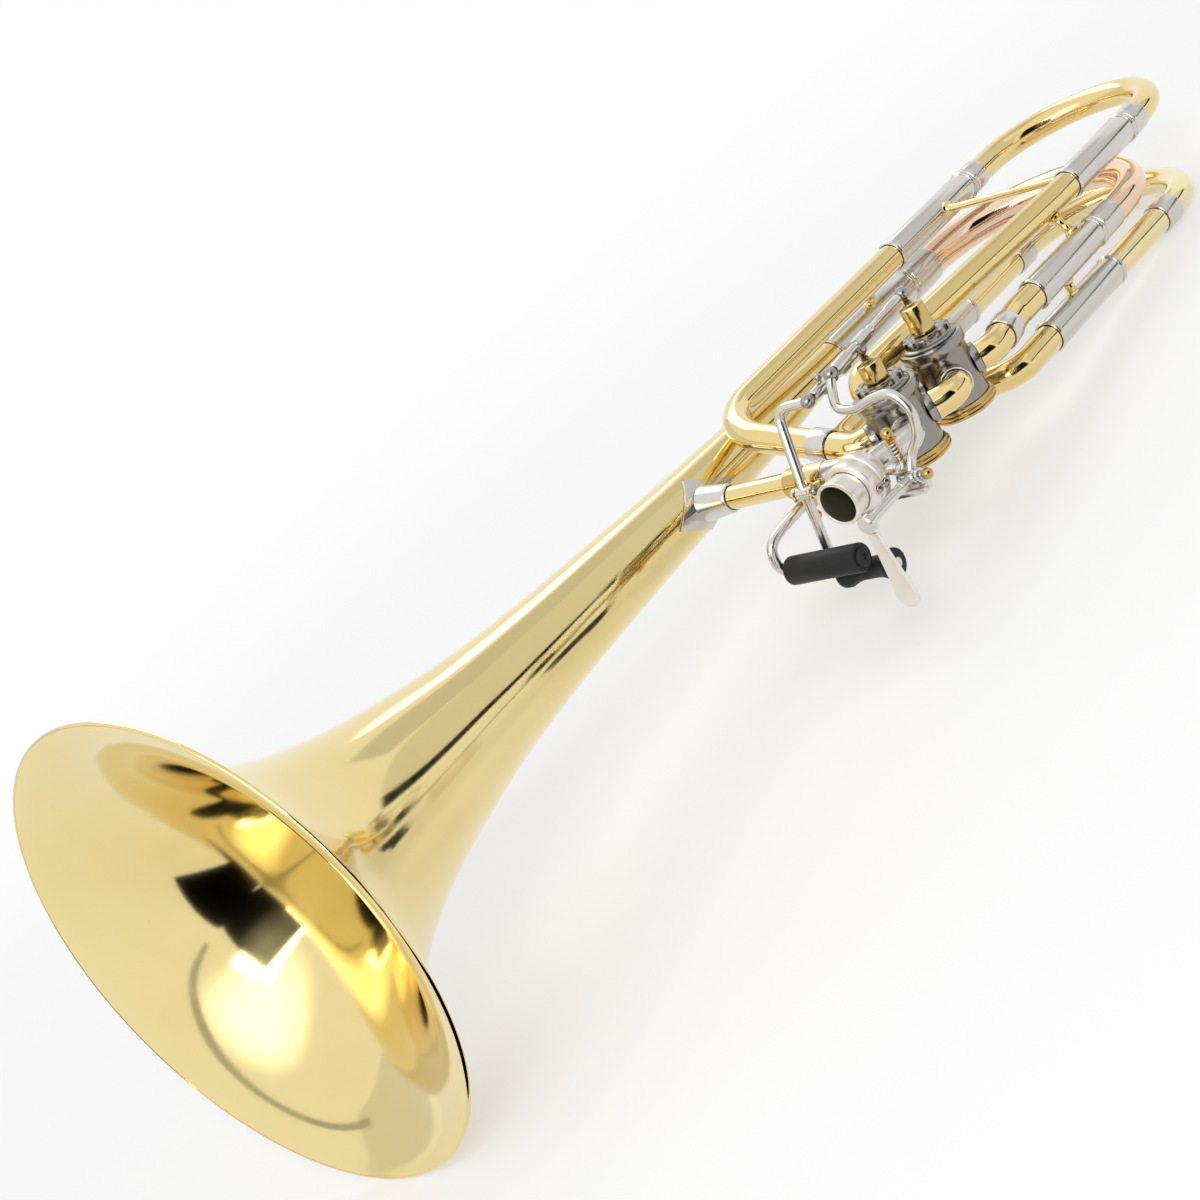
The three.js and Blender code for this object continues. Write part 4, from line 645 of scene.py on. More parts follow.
def makeCrook(node, values):
    (left, right), (leftSeat, rightSeat), (radius, endRadius) = readOff(values, "offsets seats radii")
    corners = ((left, leftSeat), (left, values["top"]), (right, values["top"]), (right, rightSeat))
    path = filletPath([(x, y, values["height"]) for x, y in corners], (right - left) / 2 - 0.01, 3)
    radiusAt = lambda share: radius + (endRadius - radius) * share
    tube = drawTube(path, radius, values["wall"], radiusAt, values["sides"])
    finishPiece(tube, node, values["finish"], 50)


makeNeck()
makeLoopBends()
for node, values in crookValues.items():
    makeCrook(node, values)
print("stage: bent tubes")


# Valves
valveValues = {"half": 17.5, "bore": 13.85, "radius": 15.35, "flange": 17, "boss": 8.5, "bossLength": 3.7,
               "plate": 12.6, "spindle": 3.3, "armFoot": 25.2, "hub": 6.4, "hubHeight": 10, "arm": 15,
               "armThick": 3, "armAngle": 135, "ball": 3.6, "ballRise": 3.4, "cap": 17.4}
# Place of each valve, and how much higher its stop arm stands.
valvePlaces = {1: (valveOnePlace, 0), 2: (valveTwoPlace, 5)}
screwRing = {"angles": (20, 140, 260), "reach": 10.6, "height": 24.85}


# The place at the end of a valve's stop arm, this far above the arm.
def armEnd(number, rise=0):
    place, lift = valvePlaces[number]
    top = valveValues["armFoot"] + valveValues["hubHeight"] + lift
    return valveCentre(place, top + rise) + heading(valveValues["armAngle"]) * valveValues["arm"]


def makeCasing(number, place):
    half, radius, flange, boss = readOff(valveValues, "half radius flange boss")
    bore, top, length = valveValues["bore"], half + 2.1, valveValues["bossLength"]
    outer = [(radius - 0.3, -half), (radius, -half + 0.4), (radius, half - 6), (radius + 0.15, half - 5.2),
             (radius + 0.6, half - 4.1), (flange - 0.25, half - 3.1), (flange, half - 2.7), (flange, top - 0.6),
             (flange - 0.2, top - 0.15), (flange - 0.6, top)]
    forms = [stand(turnProfile(boredProfile(outer, bore), 80), valveCentre(place))]
    ring = boredProfile([(boss, 0), (boss, 3.0), (boss - 0.15, 3.5), (boss - 0.5, length)], tubeBore)
    for way in (heading(45), heading(-45), heading(135), heading(-135)):
        forms.append(stand(turnProfile(ring, 56), valveCentre(place) + way * bore, way))
    finishPiece(joinUp(forms), f"valve_{number}_casing", "satinNickel")


# The plate's rim is notched by drawing every second span of it inward.
def makeTopPlate(number, place):
    plate, spindle = valveValues["plate"], valveValues["spindle"]
    line = [(spindle, 15.3), (13.5, 15.3), (13.5, 19.9), (14.45, 19.9), (14.45, 20.4), (14.1, 20.7),
            (plate, 21.3), (plate, 22.3), (plate, 24.3), (plate - 0.2, 24.75), (plate - 0.6, 24.9),
            (9.2, 24.9), (8.6, 24.5), (8.1, 24.5), (7.6, 24.9), (spindle, 24.9)]
    form = turnProfile(ringProfile(line), 72)
    bpy.ops.object.mode_set(mode="EDIT")
    bpy.ops.mesh.select_all(action="DESELECT")
    bpy.ops.object.mode_set(mode="OBJECT")
    for face in form.data.polygons:
        middle = face.center
        angle = math.degrees(math.atan2(middle.y, middle.x)) % 30
        onRim = math.hypot(middle.x, middle.y) > (plate - 0.8) * mm and 22.35 * mm < middle.z < 24.95 * mm
        face.select = onRim and angle < 15
    bpy.ops.object.mode_set(mode="EDIT")
    bpy.ops.mesh.select_mode(type="FACE")
    bpy.ops.mesh.extrude_region_move()
    bpy.ops.transform.resize(value=(0.88, 0.88, 1), center_override=(0, 0, 0))
    bpy.ops.object.mode_set(mode="OBJECT")
    forms = [stand(form, valveCentre(place))]
    screw = [(0, 0), (1.1, 0), (1.1, 0.15), (0.8, 0.4), (0.45, 0.45), (0.45, 0.2), (0, 0.2)]
    for angle in screwRing["angles"]:
        seat = valveCentre(place, screwRing["height"]) + heading(angle) * screwRing["reach"]
        forms.append(stand(turnProfile(screw, 20), seat))
    finishPiece(joinUp(forms), f"valve_{number}_top_plate", "satinNickel")


def makeStopArm(number, place):
    foot, hub, spindle, thick = readOff(valveValues, "armFoot hub spindle armThick")
    rise, angle, end = valveValues["ballRise"], valveValues["armAngle"], armEnd(number)
    top = end.z
    profile = [(spindle, foot), (hub - 0.5, foot), (hub, foot + 0.5), (hub, top - 0.6), (hub - 0.2, top - 0.2),
               (hub - 0.6, top), (3.4, top), (3.1, top - 0.35), (2.7, top - 0.35), (2.5, top - 0.1),
               (0, top - 0.1), (0, top - 1), (spindle, top - 1)]
    blockPlace = valveCentre(place, top - thick / 2) + heading(angle) * 8
    forms = [stand(turnProfile(ringProfile(profile)), valveCentre(place)),
             drawBlock((valveValues["arm"] - 2, 4.6, thick), blockPlace, alongZ, angle, 0.5),
             drawRod(end, alongZ, -thick, 0, 2.38, edge=0.4, steps=32)]
    arm = tint(joinUp(forms), "goldBrass")
    studs = [drawRod(end, alongZ, -0.5, rise, 1.4, edge=0.1, steps=20),
             drawBall(armEnd(number, rise), valveValues["ball"]),
             drawRod(end, alongZ, rise + 2.9, rise + 3.3, 1.2, edge=0.1)]
    finishPiece(joinUp([arm, tint(joinUp(studs), "steel")]), f"valve_{number}_stop_arm", "goldBrass")


def makeCap(number, place):
    cap, base = valveValues["cap"], -valveValues["half"] - 0.3
    foot, top = base - 3.5, base + 3.3
    line = [(0, foot), (6, foot + 0.02), (10.5, foot + 0.1), (12.2, foot + 0.2), (14.6, foot + 0.45),
            (16, foot + 0.9), (cap - 0.7, foot + 1.5), (cap - 0.25, foot + 2), (cap, foot + 2.5),
            (cap - 0.1, foot + 2.9), (cap - 0.6, foot + 3.1), (cap - 0.6, foot + 3.5), (cap - 0.1, foot + 3.8),
            (cap, foot + 4.2), (cap - 0.15, foot + 4.8), (cap - 0.5, foot + 5.2), (cap - 0.85, foot + 5.5),
            (cap - 0.85, top - 0.5), (cap - 1.2, top), (15.65, top), (15.65, base), (0, base)]
    turnPiece(f"valve_{number}_cap", line, 88, valveCentre(place), alongZ, "goldBrass")


for number, (place, lift) in valvePlaces.items():
    makeCasing(number, place)
    makeTopPlate(number, place)
    makeStopArm(number, place)
    makeCap(number, place)
print("stage: valves")


# Receiver, collar, thumbscrew and spring
receiverValues = {"place": (neckOffset, 320, 0), "bore": 9.7, "radius": 10.9, "rim": 11.6, "length": 25}
collarValues = {"place": (neckOffset, 331, 0), "bore": 11.2, "radius": 14.1, "length": 15,
                "pivot": (157, 348, -7), "drop": 6.9, "screwPlaces": (335.2, 341.5), "screwAngle": -14}
earValues = {"gap": 4.3, "thick": 2.2, "radius": 3.6}
thumbscrewValues = {"place": (152, 353, 0), "knob": 3.03, "knobHeight": 15}
springValues = {"turns": 4, "radius": 2.9, "rise": 7.6, "foot": 2.5, "wire": 0.42, "steps": 28}


def makeReceiver():
    bore, radius, rim, length = readOff(receiverValues, "bore radius rim length")
    outer = [(rim - 0.9, 0), (rim - 0.3, 0.15), (rim, 0.7), (rim, 2.2), (rim - 0.25, 2.8), (radius, 3.2),
             (radius, 21.5), (10.4, 22.6), (9.2, 24), (8.75, length)]
    inner = [(bore + 0.3, 0), (bore, 0.4), (9.2, 16), (7.9, 19), (7.9, length)]
    form = turnProfile(ringProfile(outer, inner), 80)
    form.data.materials.append(finishes["ivoryNickel"])
    form.data.materials.append(finishes["shadowedBore"])
    for face in form.data.polygons:
        inside = math.hypot(face.center.x, face.center.y) < (bore + 0.05) * mm
        if inside and face.center.z < (length - 0.5) * mm:
            face.material_index = 1
    finishPiece(stand(form, receiverValues["place"], alongY), "receiver", "nickel")


# Two ears at a pivot, each on a block that runs this way to its foot, and the pin through them.
def pivotForms(pivot, way):
    gap, thick, radius = readOff(earValues, "gap thick radius")
    outside, ears = gap + thick, []
    for side in (-1, 1):
        middle = pivot + alongX * side * (gap + thick / 2)
        ears += [drawRod(middle, alongX, -thick / 2, thick / 2, radius, edge=0.4),
                 drawBlock((thick, radius * 1.5, way.length), middle + way / 2, way, 0, 0.3)]
    pins = [drawRod(pivot, alongX, -outside - 0.7, outside + 1.2, 1.4, steps=20),
            drawRod(pivot, alongX, outside, outside + 1.2, 2.3, 2.0, steps=24)]
    return ears, pins


def makeCollar():
    bore, r, length, drop = readOff(collarValues, "bore radius length drop")
    outer = [(r - 1.4, 0), (r - 0.7, 0.35), (r - 0.15, 1.1), (r, 2.1), (r, 6.6), (r - 0.15, 7), (r - 0.75, 7.3),
             (r - 0.75, 8.1), (r - 0.15, 8.5), (r, 9), (r, length - 0.9), (r - 0.3, length - 0.25),
             (r - 0.9, length)]
    ring = turnProfile(boredProfile(outer, bore), 80)
    tint(stand(ring, collarValues["place"], alongY), "ivoryNickel")
    pivot = Vector(collarValues["pivot"])
    ears, pins = pivotForms(pivot, alongZ * -drop)
    bar = drawBlock((24.5, 7.2, 3.1), (151.25, pivot.y, pivot.z - drop))
    lug = drawBlock((9.1, 13.5, 3.5), (151.2, 350, 0))
    lugs = tint(joinUp([bar, lug, *ears]), "nickel")
    angle = math.radians(collarValues["screwAngle"])
    way = Vector((math.cos(angle), 0, math.sin(angle)))
    screws, washers = [], []
    for y in collarValues["screwPlaces"]:
        seat = Vector((neckOffset, y, 0)) + way * 13.4
        washers.append(drawRod(seat, way, 0, 1.1, 3.0, edge=0.2, steps=32))
        screws += [drawRod(seat, way, 0, 2.0, 2.4, 2.2, steps=24),
                   drawRod(seat, way, 1.6, 2.6, 1.9, 1.5, steps=6)]
    brassEnd = tint(drawBall(pivot + alongX * 10.2, 2.9), "goldBrass")
    copperRings = tint(joinUp(washers), "roseBrass")
    steelBits = tint(joinUp([*pins, *screws]), "steel")
    finishPiece(joinUp([ring, lugs, copperRings, steelBits, brassEnd]), "receiver_collar", "nickel")


def makeThumbscrew():
    place, knob, height = readOff(thumbscrewValues, "place knob knobHeight")
    shank = [(0, -3.4), (1.3, -3.4), (1.65, -3.1), (1.65, 8.4), (1.7, 9.8), (2.3, 10.3), (3.3, 10.9),
             (3.3, 11.5), (2.2, 11.9), (1.5, 12.4)]
    ball = [(knob * math.sin(a), height - knob * math.cos(a)) for a in spread(0.55, math.pi, 16)[:-1]]
    line = [*shank, *ball, (0, height + knob)]
    turnPiece("collar_thumbscrew", line, 40, place, alongZ, "goldBrass")


def makeSpring():
    turns, radius, rise, foot = readOff(springValues, "turns radius rise foot")
    whole = 2 * math.pi * turns
    path = [Vector((radius * math.cos(a), radius * math.sin(a), foot + rise * a / whole))
            + Vector(thumbscrewValues["place"]) for a in spread(0, whole, turns * springValues["steps"])]
    spring = drawTube(path, springValues["wire"], sides=3)
    finishPiece(spring, "thumbscrew_spring", "nickel", 60)


makeReceiver()
makeCollar()
makeThumbscrew()
makeSpring()
print("stage: receiver and collar")


# Braces
braceValues = {"radius": 6.2, "bore": 5.3, "tubeEnd": 115.1, "bandStart": 104.1, "bandSeat": 7.9,
               "plateLength": 52, "plateWidth": 30, "plateThick": 0.9}
# Start, radius of the tube there, end, radius of the tube there, radius and flange of each strut.
strutValues = {
    "loop_1_strut": ((16, 620.08, 24), 8.4, (122, 608.04, 24), 8.4, 2.2, 4.6),
    "slide_brace": ((119.86, 572, 23.63), 7.9, (neckOffset, 572, 0), 8.4, 2.4, 4.2),
    "loop_2_brace": ((neckOffset, 545, 0), 8.4, (133, 545, -23.5), 8.4, 2.4, 3.4),
    "bell_stem_brace": ((0, 545, 0), 11.1, (16, 545, 24), tubeRadius, 2.4, 3.4),
}


# A diamond cut from a sheet turned about the bell's stem, and the cone that stands on it.
def makeBracePlate(stem, start):
    half, reach = braceValues["plateLength"] / 2, braceValues["plateWidth"] / 2
    heights = spread(-half, half, 12)
    radii = [flareRadius((bracePlace + y) / bellValues["length"]) + 0.3 for y in heights]
    outer = [(radius + braceValues["plateThick"], y) for radius, y in zip(radii, heights)]
    sheet = turnProfile(ringProfile(outer, list(zip(radii, heights))), 128)
    stand(sheet, (0, bracePlace, 0), alongY)
    quarter = [(reach * t * (4 / 3 - t / 3), half * ((1 - t) ** 2 + 2 * t * (1 - t) / 3))
               for t in spread(0, 1, 10)]
    diamond = [*quarter, *[(x, -y) for x, y in quarter[-2::-1]], *[(-x, -y) for x, y in quarter[1:]],
               *[(-x, y) for x, y in quarter[-2:0:-1]]]
    trimForm(sheet, stand(drawPlan(diamond, stem * 2), (0, bracePlace, 0), alongX), "INTERSECT")
    cone = [(6.5, 9.7), (6.5, 19), (7.0, 19), (7.4, 18.6), (7.7, 17.4), (7.9, 14.4), (8.3, 11), (8.9, 6),
            (9.5, 1.2), (9.6, 0.4), (9.3, 0), (0, 0), (0, 9.7)]
    form = stand(turnProfile(ringProfile(cone)), (start, bracePlace, 0), alongX)
    finishPiece(joinUp([sheet, form]), "brace_plate", "nickel")


def makeBrace():
    radius, bore, tubeEnd = readOff(braceValues, "radius bore tubeEnd")
    stem = flareRadius(bracePlace / bellValues["length"])
    start = stem + 0.6
    makeBracePlate(stem, start)
    tubeStart = start + 9.8
    length = tubeEnd - tubeStart
    tube = boredProfile([(radius, 0), (radius, length)], bore)
    turnPiece("brace_tube", tube, 64, (tubeStart, bracePlace, 0), alongX, "brass")
    band = [(6.5, 0), (7.0, 0), (7.5, 0.4), (7.6, 1), (7.6, 14.6), (7.8, 15.6), (8.3, 16.8), (8.4, 17.6),
            (8.4, 29.4), (0, 29.4), (0, 11.3), (6.5, 11.3)]
    holder = stand(turnProfile(ringProfile(band)), (braceValues["bandStart"], bracePlace, 0), alongX)
    seat = drawRod((neckOffset, bracePlace, 0), alongY, -14, 14, braceValues["bandSeat"], steps=64)
    trimForm(holder, seat, "DIFFERENCE")
    finishPiece(holder, "brace_band", "nickel")


# A turned strut, flanged where it meets the tube at either end.
def makeStrut(node, start, startRadius, end, endRadius, radius, flange):
    way = Vector(end) - Vector(start)
    first, last = startRadius + 0.3, way.length - endRadius - 0.3
    foot = [(0, -0.9), (flange * 0.9, -0.9), (flange, -0.5), (flange * 0.97, 0.5), (flange * 0.72, 1.1),
            (flange * 0.6, 2), (radius * 1.15, 3.2), (radius, 4.6)]
    line = mirrored([(width, first + height) for width, height in foot], first + last)
    line.insert(len(foot), (radius * 0.96, (first + last) / 2))
    turnPiece(node, line, 36, start, way, "brass")


makeBrace()
for node, values in strutValues.items():
    makeStrut(node, *values)
print("stage: braces")


# Levers, link rods and hand rest
leverValues = {"pivot": (97.5, 341, 0), "spool": (117, 335, -43), "spoolHalf": 17, "ball": 3.6, "clamp": 13,
               "wire": 2.65, "secondWire": 2.42, "reach": 40}
# The link ball on each lever.
leverTops = {1: Vector((armEnd(1).x, 358, armEnd(1, valveValues["ballRise"]).z)),
             2: Vector((121, 372, armEnd(2, valveValues["ballRise"]).z))}
paddleValues = {"length": 41, "wide": 6, "neck": 3, "thick": 2.1}
# Shares of the way from the pivot to the ball, along each axis.
leverRouteShares = [(1, 1, 1), (0.986, 0.79, 0.87), (0.89, 0.54, 0.75), (0.555, 0.42, 0.71), (0.19, 0.4, 0.77),
                    (-0.14, 0.4, 0.77), (-0.32, 0.375, 0.57), (-0.24, 0.33, 0.33), (-0.07, 0.2, 0.17),
                    (0, 0, 0)]
# Share of the rod's length, and the radius there.
rodProfiles = {
    1: [(0, 2.2), (0.02, 2.8), (0.1, 3.0), (0.38, 3.0), (0.4, 2.6), (0.42, 2.6), (0.44, 3.0), (0.48, 3.0),
        (0.5, 2.7), (0.51, 1.9), (0.62, 1.9), (0.84, 1.9), (0.86, 2.3), (0.98, 2.1), (1, 1.7)],
    2: [(0, 2.2), (0.02, 2.8), (0.18, 3.0), (0.2, 2.8), (0.21, 1.9), (0.52, 1.9), (0.54, 2.4), (0.56, 2.4),
        (0.58, 1.9), (0.8, 1.9), (0.82, 2.4), (0.98, 2.2), (1, 1.7)],
}
rodValues = {"gap": 4.2, "nutPlaces": {1: 0.62, 2: 0.32}, "nutLength": 0.17, "screwPlace": 0.24}
restValues = {"grip": (106, 322, -30), "half": 23, "clamp": 83, "drop": 10.2, "bulge": 5, "wire": 2.7,
              "core": 2.5, "coreEnd": 23.3}
# How far the wire bulges away from the grip, and shares of the way from the clamp to the grip.
restRouteShares = [(0, 0, 0), (0, 0.25, 0), (0.9, 0.97, 0.25), (1, 1.06, 0.72), (0.45, 1, 1), (-1, 1, 1)]


# A ring around the brace tube.
def drawClamp(middle, length):
    profile = boredProfile(mirrored([(7.4, 0), (7.7, 0.3)], length), 6.5)
    return stand(turnProfile(profile, 48), (middle - length / 2, bracePlace, 0), alongX)


def makeLeverOne():
    pivot, spool, half = Vector(leverValues["pivot"]), Vector(leverValues["spool"]), leverValues["spoolHalf"]
    top = leverTops[1]
    bend = Vector((pivot.x - 6, top.y, top.z))
    turn, end = [spool + alongX * x for x in (-half - 4.3, half + 1.25)]
    path = filletPath([top, bend, pivot, turn, end], [6.5, 15, 3.75], 6)
    forms = [drawTube(path, leverValues["wire"], sides=5), drawRod(pivot, alongX, -4, 4, 3.2)]
    whole = tint(joinUp(forms), "nickel")
    studs = [drawBall(top, leverValues["ball"]), drawRod(top, alongZ, 2.9, 3.3, 1.2, edge=0.1, steps=6)]
    finishPiece(joinUp([whole, tint(joinUp(studs), "steel")]), "lever_1_wire", "nickel")

    side = [(2.9, 0), (6.8, 0), (7.4, 0.3), (7.6, 0.9), (7.6, 3.6), (7.2, 4.6), (6.3, 7), (5.7, 9.5), (5.4, 12)]
    turnPiece("lever_1_spool", ringProfile(mirrored(side, half * 2)), 64, spool - alongX * half, alongX,
              "blackGrip")

    clamp = drawClamp(pivot.x, leverValues["clamp"])
    ears, pins = pivotForms(pivot, alongY * (bracePlace - 6.8 - pivot.y))
    holder = tint(joinUp([clamp, *ears]), "brass")
    finishPiece(joinUp([holder, tint(joinUp(pins), "steel")]), "lever_1_bracket", "brass")


def makeLeverTwo():
    pivot, top, wire = Vector(collarValues["pivot"]), leverTops[2], leverValues["secondWire"]
    reach = leverValues["reach"]
    disc = pivot - alongY * reach
    route = [pivot + Vector([share * span for share, span in zip(shares, top - pivot)])
             for shares in leverRouteShares]
    forms = [drawTube(smoothPath(route, 90), wire, sides=6),
             drawRod(pivot, alongY, 0, -reach, wire),
             drawRod(pivot, alongY, -7, -10.5, 2.8, steps=32),
             drawRod(disc, alongY, -2.2, 2.2, 4.6, edge=0.5, steps=40),
             drawRod(disc, alongY, -2.35, -2.1, 3.7, edge=0.1, steps=40),
             drawRod(pivot, alongX, -4, 4, 3.6)]
    whole = tint(joinUp(forms), "nickel")
    ball = tint(drawBall(top, leverValues["ball"]), "steel")
    finishPiece(joinUp([whole, ball]), "lever_2_wire", "nickel")
    makePaddle(disc)


def makePaddle(disc):
    length, wide, neck, thick = readOff(paddleValues, "length wide neck thick")
    low = length - wide
    side = [(neck + (wide - neck) * min(1, 1.048 * (1 - rise)) ** 1.4, low - (low - 0.2) * rise)
            for rise in spread(1, 0, 14)]
    end = [(wide * math.cos(a), low + wide * math.sin(a)) for a in spread(0, math.pi, 20)[1:-1]]
    blade = drawPlan([*side, *end, *[(-x, y) for x, y in reversed(side)]], thick)
    addModifier(blade, "BEVEL", {"width": 0.55 * mm, "segments": 3, "limit_method": "ANGLE"})
    stand(closeUp(blade), (disc.x, disc.y - thick / 2, disc.z - 4.9), alongY)
    finishPiece(blade, "lever_2_paddle", "ivoryNickel")


def makeRod(number):
    start, end = leverTops[number], armEnd(number, valveValues["ballRise"])
    way = (end - start).normalized()
    first, length = start + way * rodValues["gap"], (end - start).length - rodValues["gap"] * 2
    nutEnd = length * rodValues["nutLength"]
    line = [(0, 0), *[(radius, share * length) for share, radius in rodProfiles[number]], (0, length)]
    nut = [(0, 0), (2.9, 0), (3.25, 0.4), (3.25, nutEnd), (2.9, nutEnd + 0.4), (0, nutEnd + 0.4)]
    nutPlace = first + way * length * rodValues["nutPlaces"][number]
    forms = [stand(turnProfile(line, 40), first, way), stand(turnProfile(nut, 6), nutPlace, way)]
    whole = tint(joinUp(forms), "nickel")
    if number == 1:
        middle = first + way * length * rodValues["screwPlace"]
        screw = [drawRod(middle, alongZ, -3.4, 4.6, 1.1, steps=20),
                 drawBall(middle + alongZ * 5.2, 1.9, 0.95),
                 drawRod(middle, alongZ, -4.0, -2.9, 1.6, steps=20)]
        whole = joinUp([whole, tint(joinUp(screw), "steel")])
    finishPiece(whole, f"link_rod_{number}", "nickel")


def makeHandRest():
    half, clamp, drop = readOff(restValues, "half clamp drop")
    grip, root = Vector(restValues["grip"]), Vector((clamp, bracePlace, -drop))
    start = grip - alongX * half
    head = grip + alongX * restValues["coreEnd"]
    middle, reach = (root.x + start.x) / 2, start - root
    route = [Vector((middle - bulge * restValues["bulge"], root.y + reach.y * y, root.z + reach.z * z))
             for bulge, y, z in restRouteShares]
    wire = drawTube(smoothPath(route, 70), restValues["wire"], sides=6)
    core = drawRod(head, alongX, route[-1].x - 2.5 - head.x, 0, restValues["core"])
    face = [(0, 0), (4.9, 0), (4.9, 1.0), (4.6, 1.3), (1.9, 1.3), (1.6, 1.1), (1.3, 0.4), (0, 0.4)]
    button = tint(stand(turnProfile(face, 40), head, alongX), "blackGrip")
    whole = tint(joinUp([wire, core]), "nickel")
    finishPiece(joinUp([whole, button]), "hand_rest_wire", "nickel")

    line = [(2.9, 0), (6.2, 0), (6.9, 0.25), (7.2, 0.9), (7.2, 45.1), (6.9, 45.75), (6.2, 46), (4.6, 46),
            (4.3, 45.6), (2.9, 45.6)]
    turnPiece("hand_rest_grip", ringProfile(line), 64, start, alongX, "blackGrip")

    forms = [drawClamp(clamp, 9), drawBlock((9, 9, 6.8), (clamp, bracePlace + 1.4, -drop - 0.6), edge=0.6),
             drawRod(root, alongZ, -3.8, -7.5, 1.7), drawBall(root - alongZ * 9, 2.66)]
    finishPiece(joinUp(forms), "hand_rest_clamp", "goldBrass")


makeLeverOne()
makeLeverTwo()
makeRod(1)
makeRod(2)
makeHandRest()
for node in ("valve_1_rotor", "valve_2_rotor"):
    tint(frame["nodes"][node], "satinNickel")
print("stage: levers, rods and hand rest")


# Floor, light and camera
stageValues = {"floor": 0.94, "glow": 0.45, "world": 0.62, "fadeStart": 0.45, "fadeEnd": 1.3}
cameraValues = {"place": (983.5, -521.5, 394.2), "lens": 80.86, "right": (0.65906, 0.56300, -0.49867),
                "up": (0.13166, 0.56644, 0.81352), "back": (0.74048, -0.60181, 0.29919)}


# Direct, mirrored and refracted looks see white ground and sky, all other light a dimmer one.
def raySeen(maker):
    camera, glossy, through = [maker.node("ShaderNodeLightPath", output=f"Is {kind} Ray")
                               for kind in ("Camera", "Glossy", "Transmission")]
    return camera + glossy + through


# Goes from one value to another with the distance from an object's middle.
def fadeOut(maker, start, end, first, last):
    place = maker.node("ShaderNodeTexCoord", output="Object")
    reach = maker.node("ShaderNodeVectorMath", {"operation": "LENGTH"}, {0: place}, "Value")
    return maker.node("ShaderNodeMapRange", {"interpolation_type": "SMOOTHSTEP"}, {
        0: reach, 1: start, 2: end, 3: first, 4: last})


def makeFloor():
    clearSelection()
    bpy.ops.mesh.primitive_plane_add(size=60, location=(0, 0, -0.0008))
    floor = bpy.context.object
    floor.name = "studioFloor"
    material = bpy.data.materials.new("studioFloor")
    maker = Maker(material)
    far = fadeOut(maker, stageValues["fadeStart"], stageValues["fadeEnd"], stageValues["glow"], 1.0)
    plain = maker.node("ShaderNodeBsdfDiffuse", {}, {"Color": (*[stageValues["floor"]] * 3, 1)})
    glow = maker.node("ShaderNodeEmission", {}, {"Color": (1, 1, 1, 1), "Strength": 1.0})
    mixed = maker.node("ShaderNodeMixShader", {}, {0: raySeen(maker) * far, 1: plain, 2: glow})
    maker.node("ShaderNodeOutputMaterial", {}, {0: mixed})
    floor.data.materials.append(material)


def makeWorld():
    world = bpy.data.worlds.new("studio")
    scene.world = world
    maker = Maker(world)
    soft, glow = [maker.node("ShaderNodeBackground", {}, {"Color": (1, 1, 1, 1), "Strength": strength})
                  for strength in (stageValues["world"], 1.0)]
    mixed = maker.node("ShaderNodeMixShader", {}, {0: raySeen(maker), 1: soft, 2: glow})
    maker.node("ShaderNodeOutputWorld", {}, {0: mixed})


def aimAt(item, target):
    item.rotation_mode = "QUATERNION"
    item.rotation_quaternion = (Vector(target) - item.location).to_track_quat("-Z", "Y")


def makeLamp(name, place, target, size, power):
    bpy.ops.object.light_add(type="AREA", location=place)
    lamp = bpy.context.object
    lamp.name = name
    lamp.data.shape = "RECTANGLE"
    lamp.data.size, lamp.data.size_y = size
    lamp.data.energy = power
    aimAt(lamp, target)


# A card shapes the reflections and isn't seen itself.
def makeCard(name, place, target, size, shade=0.0, soft=False, roll=0.0):
    clearSelection()
    bpy.ops.mesh.primitive_plane_add(size=1, location=place)
    card = bpy.context.object
    card.name = name
    card.scale = (*size, 1)
    aimAt(card, target)
    card.rotation_quaternion = card.rotation_quaternion @ Quaternion((0, 0, 1), math.radians(roll))
    material = bpy.data.materials.new(name)
    maker = Maker(material)
    shader = maker.node("ShaderNodeEmission", {}, {"Color": (1, 1, 1, 1), "Strength": shade})
    if soft:
        clear = maker.node("ShaderNodeBsdfTransparent")
        fade = fadeOut(maker, 0.12, 0.5, 1.0, 0.0)
        shader = maker.node("ShaderNodeMixShader", {}, {0: fade, 1: clear, 2: shader})
    maker.node("ShaderNodeOutputMaterial", {}, {0: shader})
    card.data.materials.append(material)
    card.visible_camera = False
    card.visible_shadow = False
    card.visible_diffuse = False


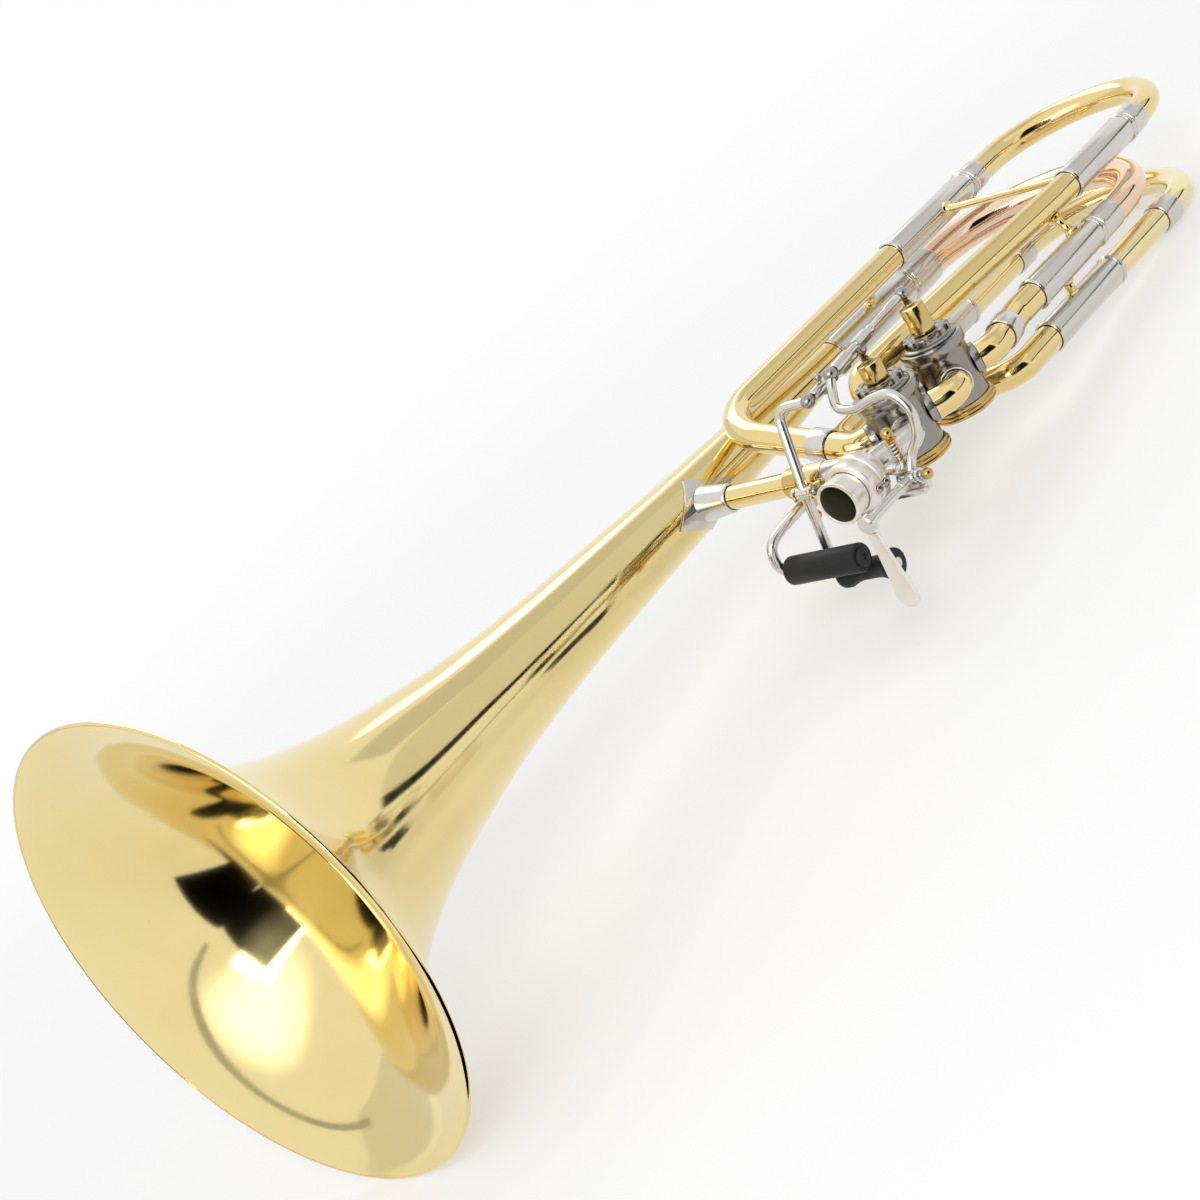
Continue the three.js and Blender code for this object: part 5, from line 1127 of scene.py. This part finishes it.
def makeCamera():
    bpy.ops.object.camera_add()
    camera = bpy.context.object
    camera.data.sensor_width = 36
    camera.data.lens = cameraValues["lens"]
    turn = hornTurn @ Matrix(readOff(cameraValues, "right up back")).transposed()
    camera.matrix_world = Matrix.Translation(hornToWorld @ (Vector(cameraValues["place"]) * mm)) @ turn.to_4x4()
    scene.camera = camera
    return camera


makeFloor()
makeWorld()
eye = makeCamera().matrix_world.translation
# Place, target, size and power of each lamp.
lampValues = {
    "keyLamp": ((1.75, -1.55, 1.3), (0, 0, 0.1), (1.1, 1.1), 34),
    "fillLamp": ((-0.9, 1.0, 1.6), (0, 0.1, 0.1), (1.2, 1.2), 8),
}
# Place, target, size and brightness of each card, whether its edge is soft, and its roll.
cardValues = {
    "eyeCard": (eye + Vector((0.58, 0.18, -0.1)), (-0.08, -0.31, 0.1), (1.8, 1.9), 0.0),
    "leftCard": ((-2.6, -0.6, 0.95), (0, -0.6, 0.95), (3.6, 1.7), 0.8),
    "softCard": ((0.6, -1.9, 1.45), (-0.09, -0.34, 0.08), (2.8, 2.6), 2.4, True),
    "arcLine": ((-0.19, -1.7, 0.53), (-0.1, -0.34, 0.08), (3.2, 0.1), 0.45, False, -16),
    "floorLine": ((0.934, -1.055, 0.001), (0.934, -1.0549, -1), (2.2, 0.25), 0.0, False, -39),
    "floorEdge": ((1.286, -0.857, 0.001), (1.286, -0.8569, -1), (1.5, 0.55), 0.0, False, -39),
    "tailCard": ((1.8, 2.4, 1.45), (1.8, 0, 1.45), (2.2, 2.5), 0.78),
    "tailLine": ((1.8, 2.35, 0.13), (1.8, 0, 0.13), (2.2, 0.26), 0.0),
    "sideCard": ((2.9, 1.6, 1.45), (0, 1.6, 1.45), (1.7, 2.5), 0.78),
    "sideLine": ((2.85, 1.6, 0.13), (0, 1.6, 0.13), (1.7, 0.26), 0.0),
    "topCard": ((0.1, 1.5, 1.2), (0.1, 1.5001, 0), (0.8, 1.6), 0.7),
}
for name, values in lampValues.items():
    makeLamp(name, *values)
for name, values in cardValues.items():
    makeCard(name, *values)
print("stage: floor, lamps and camera")
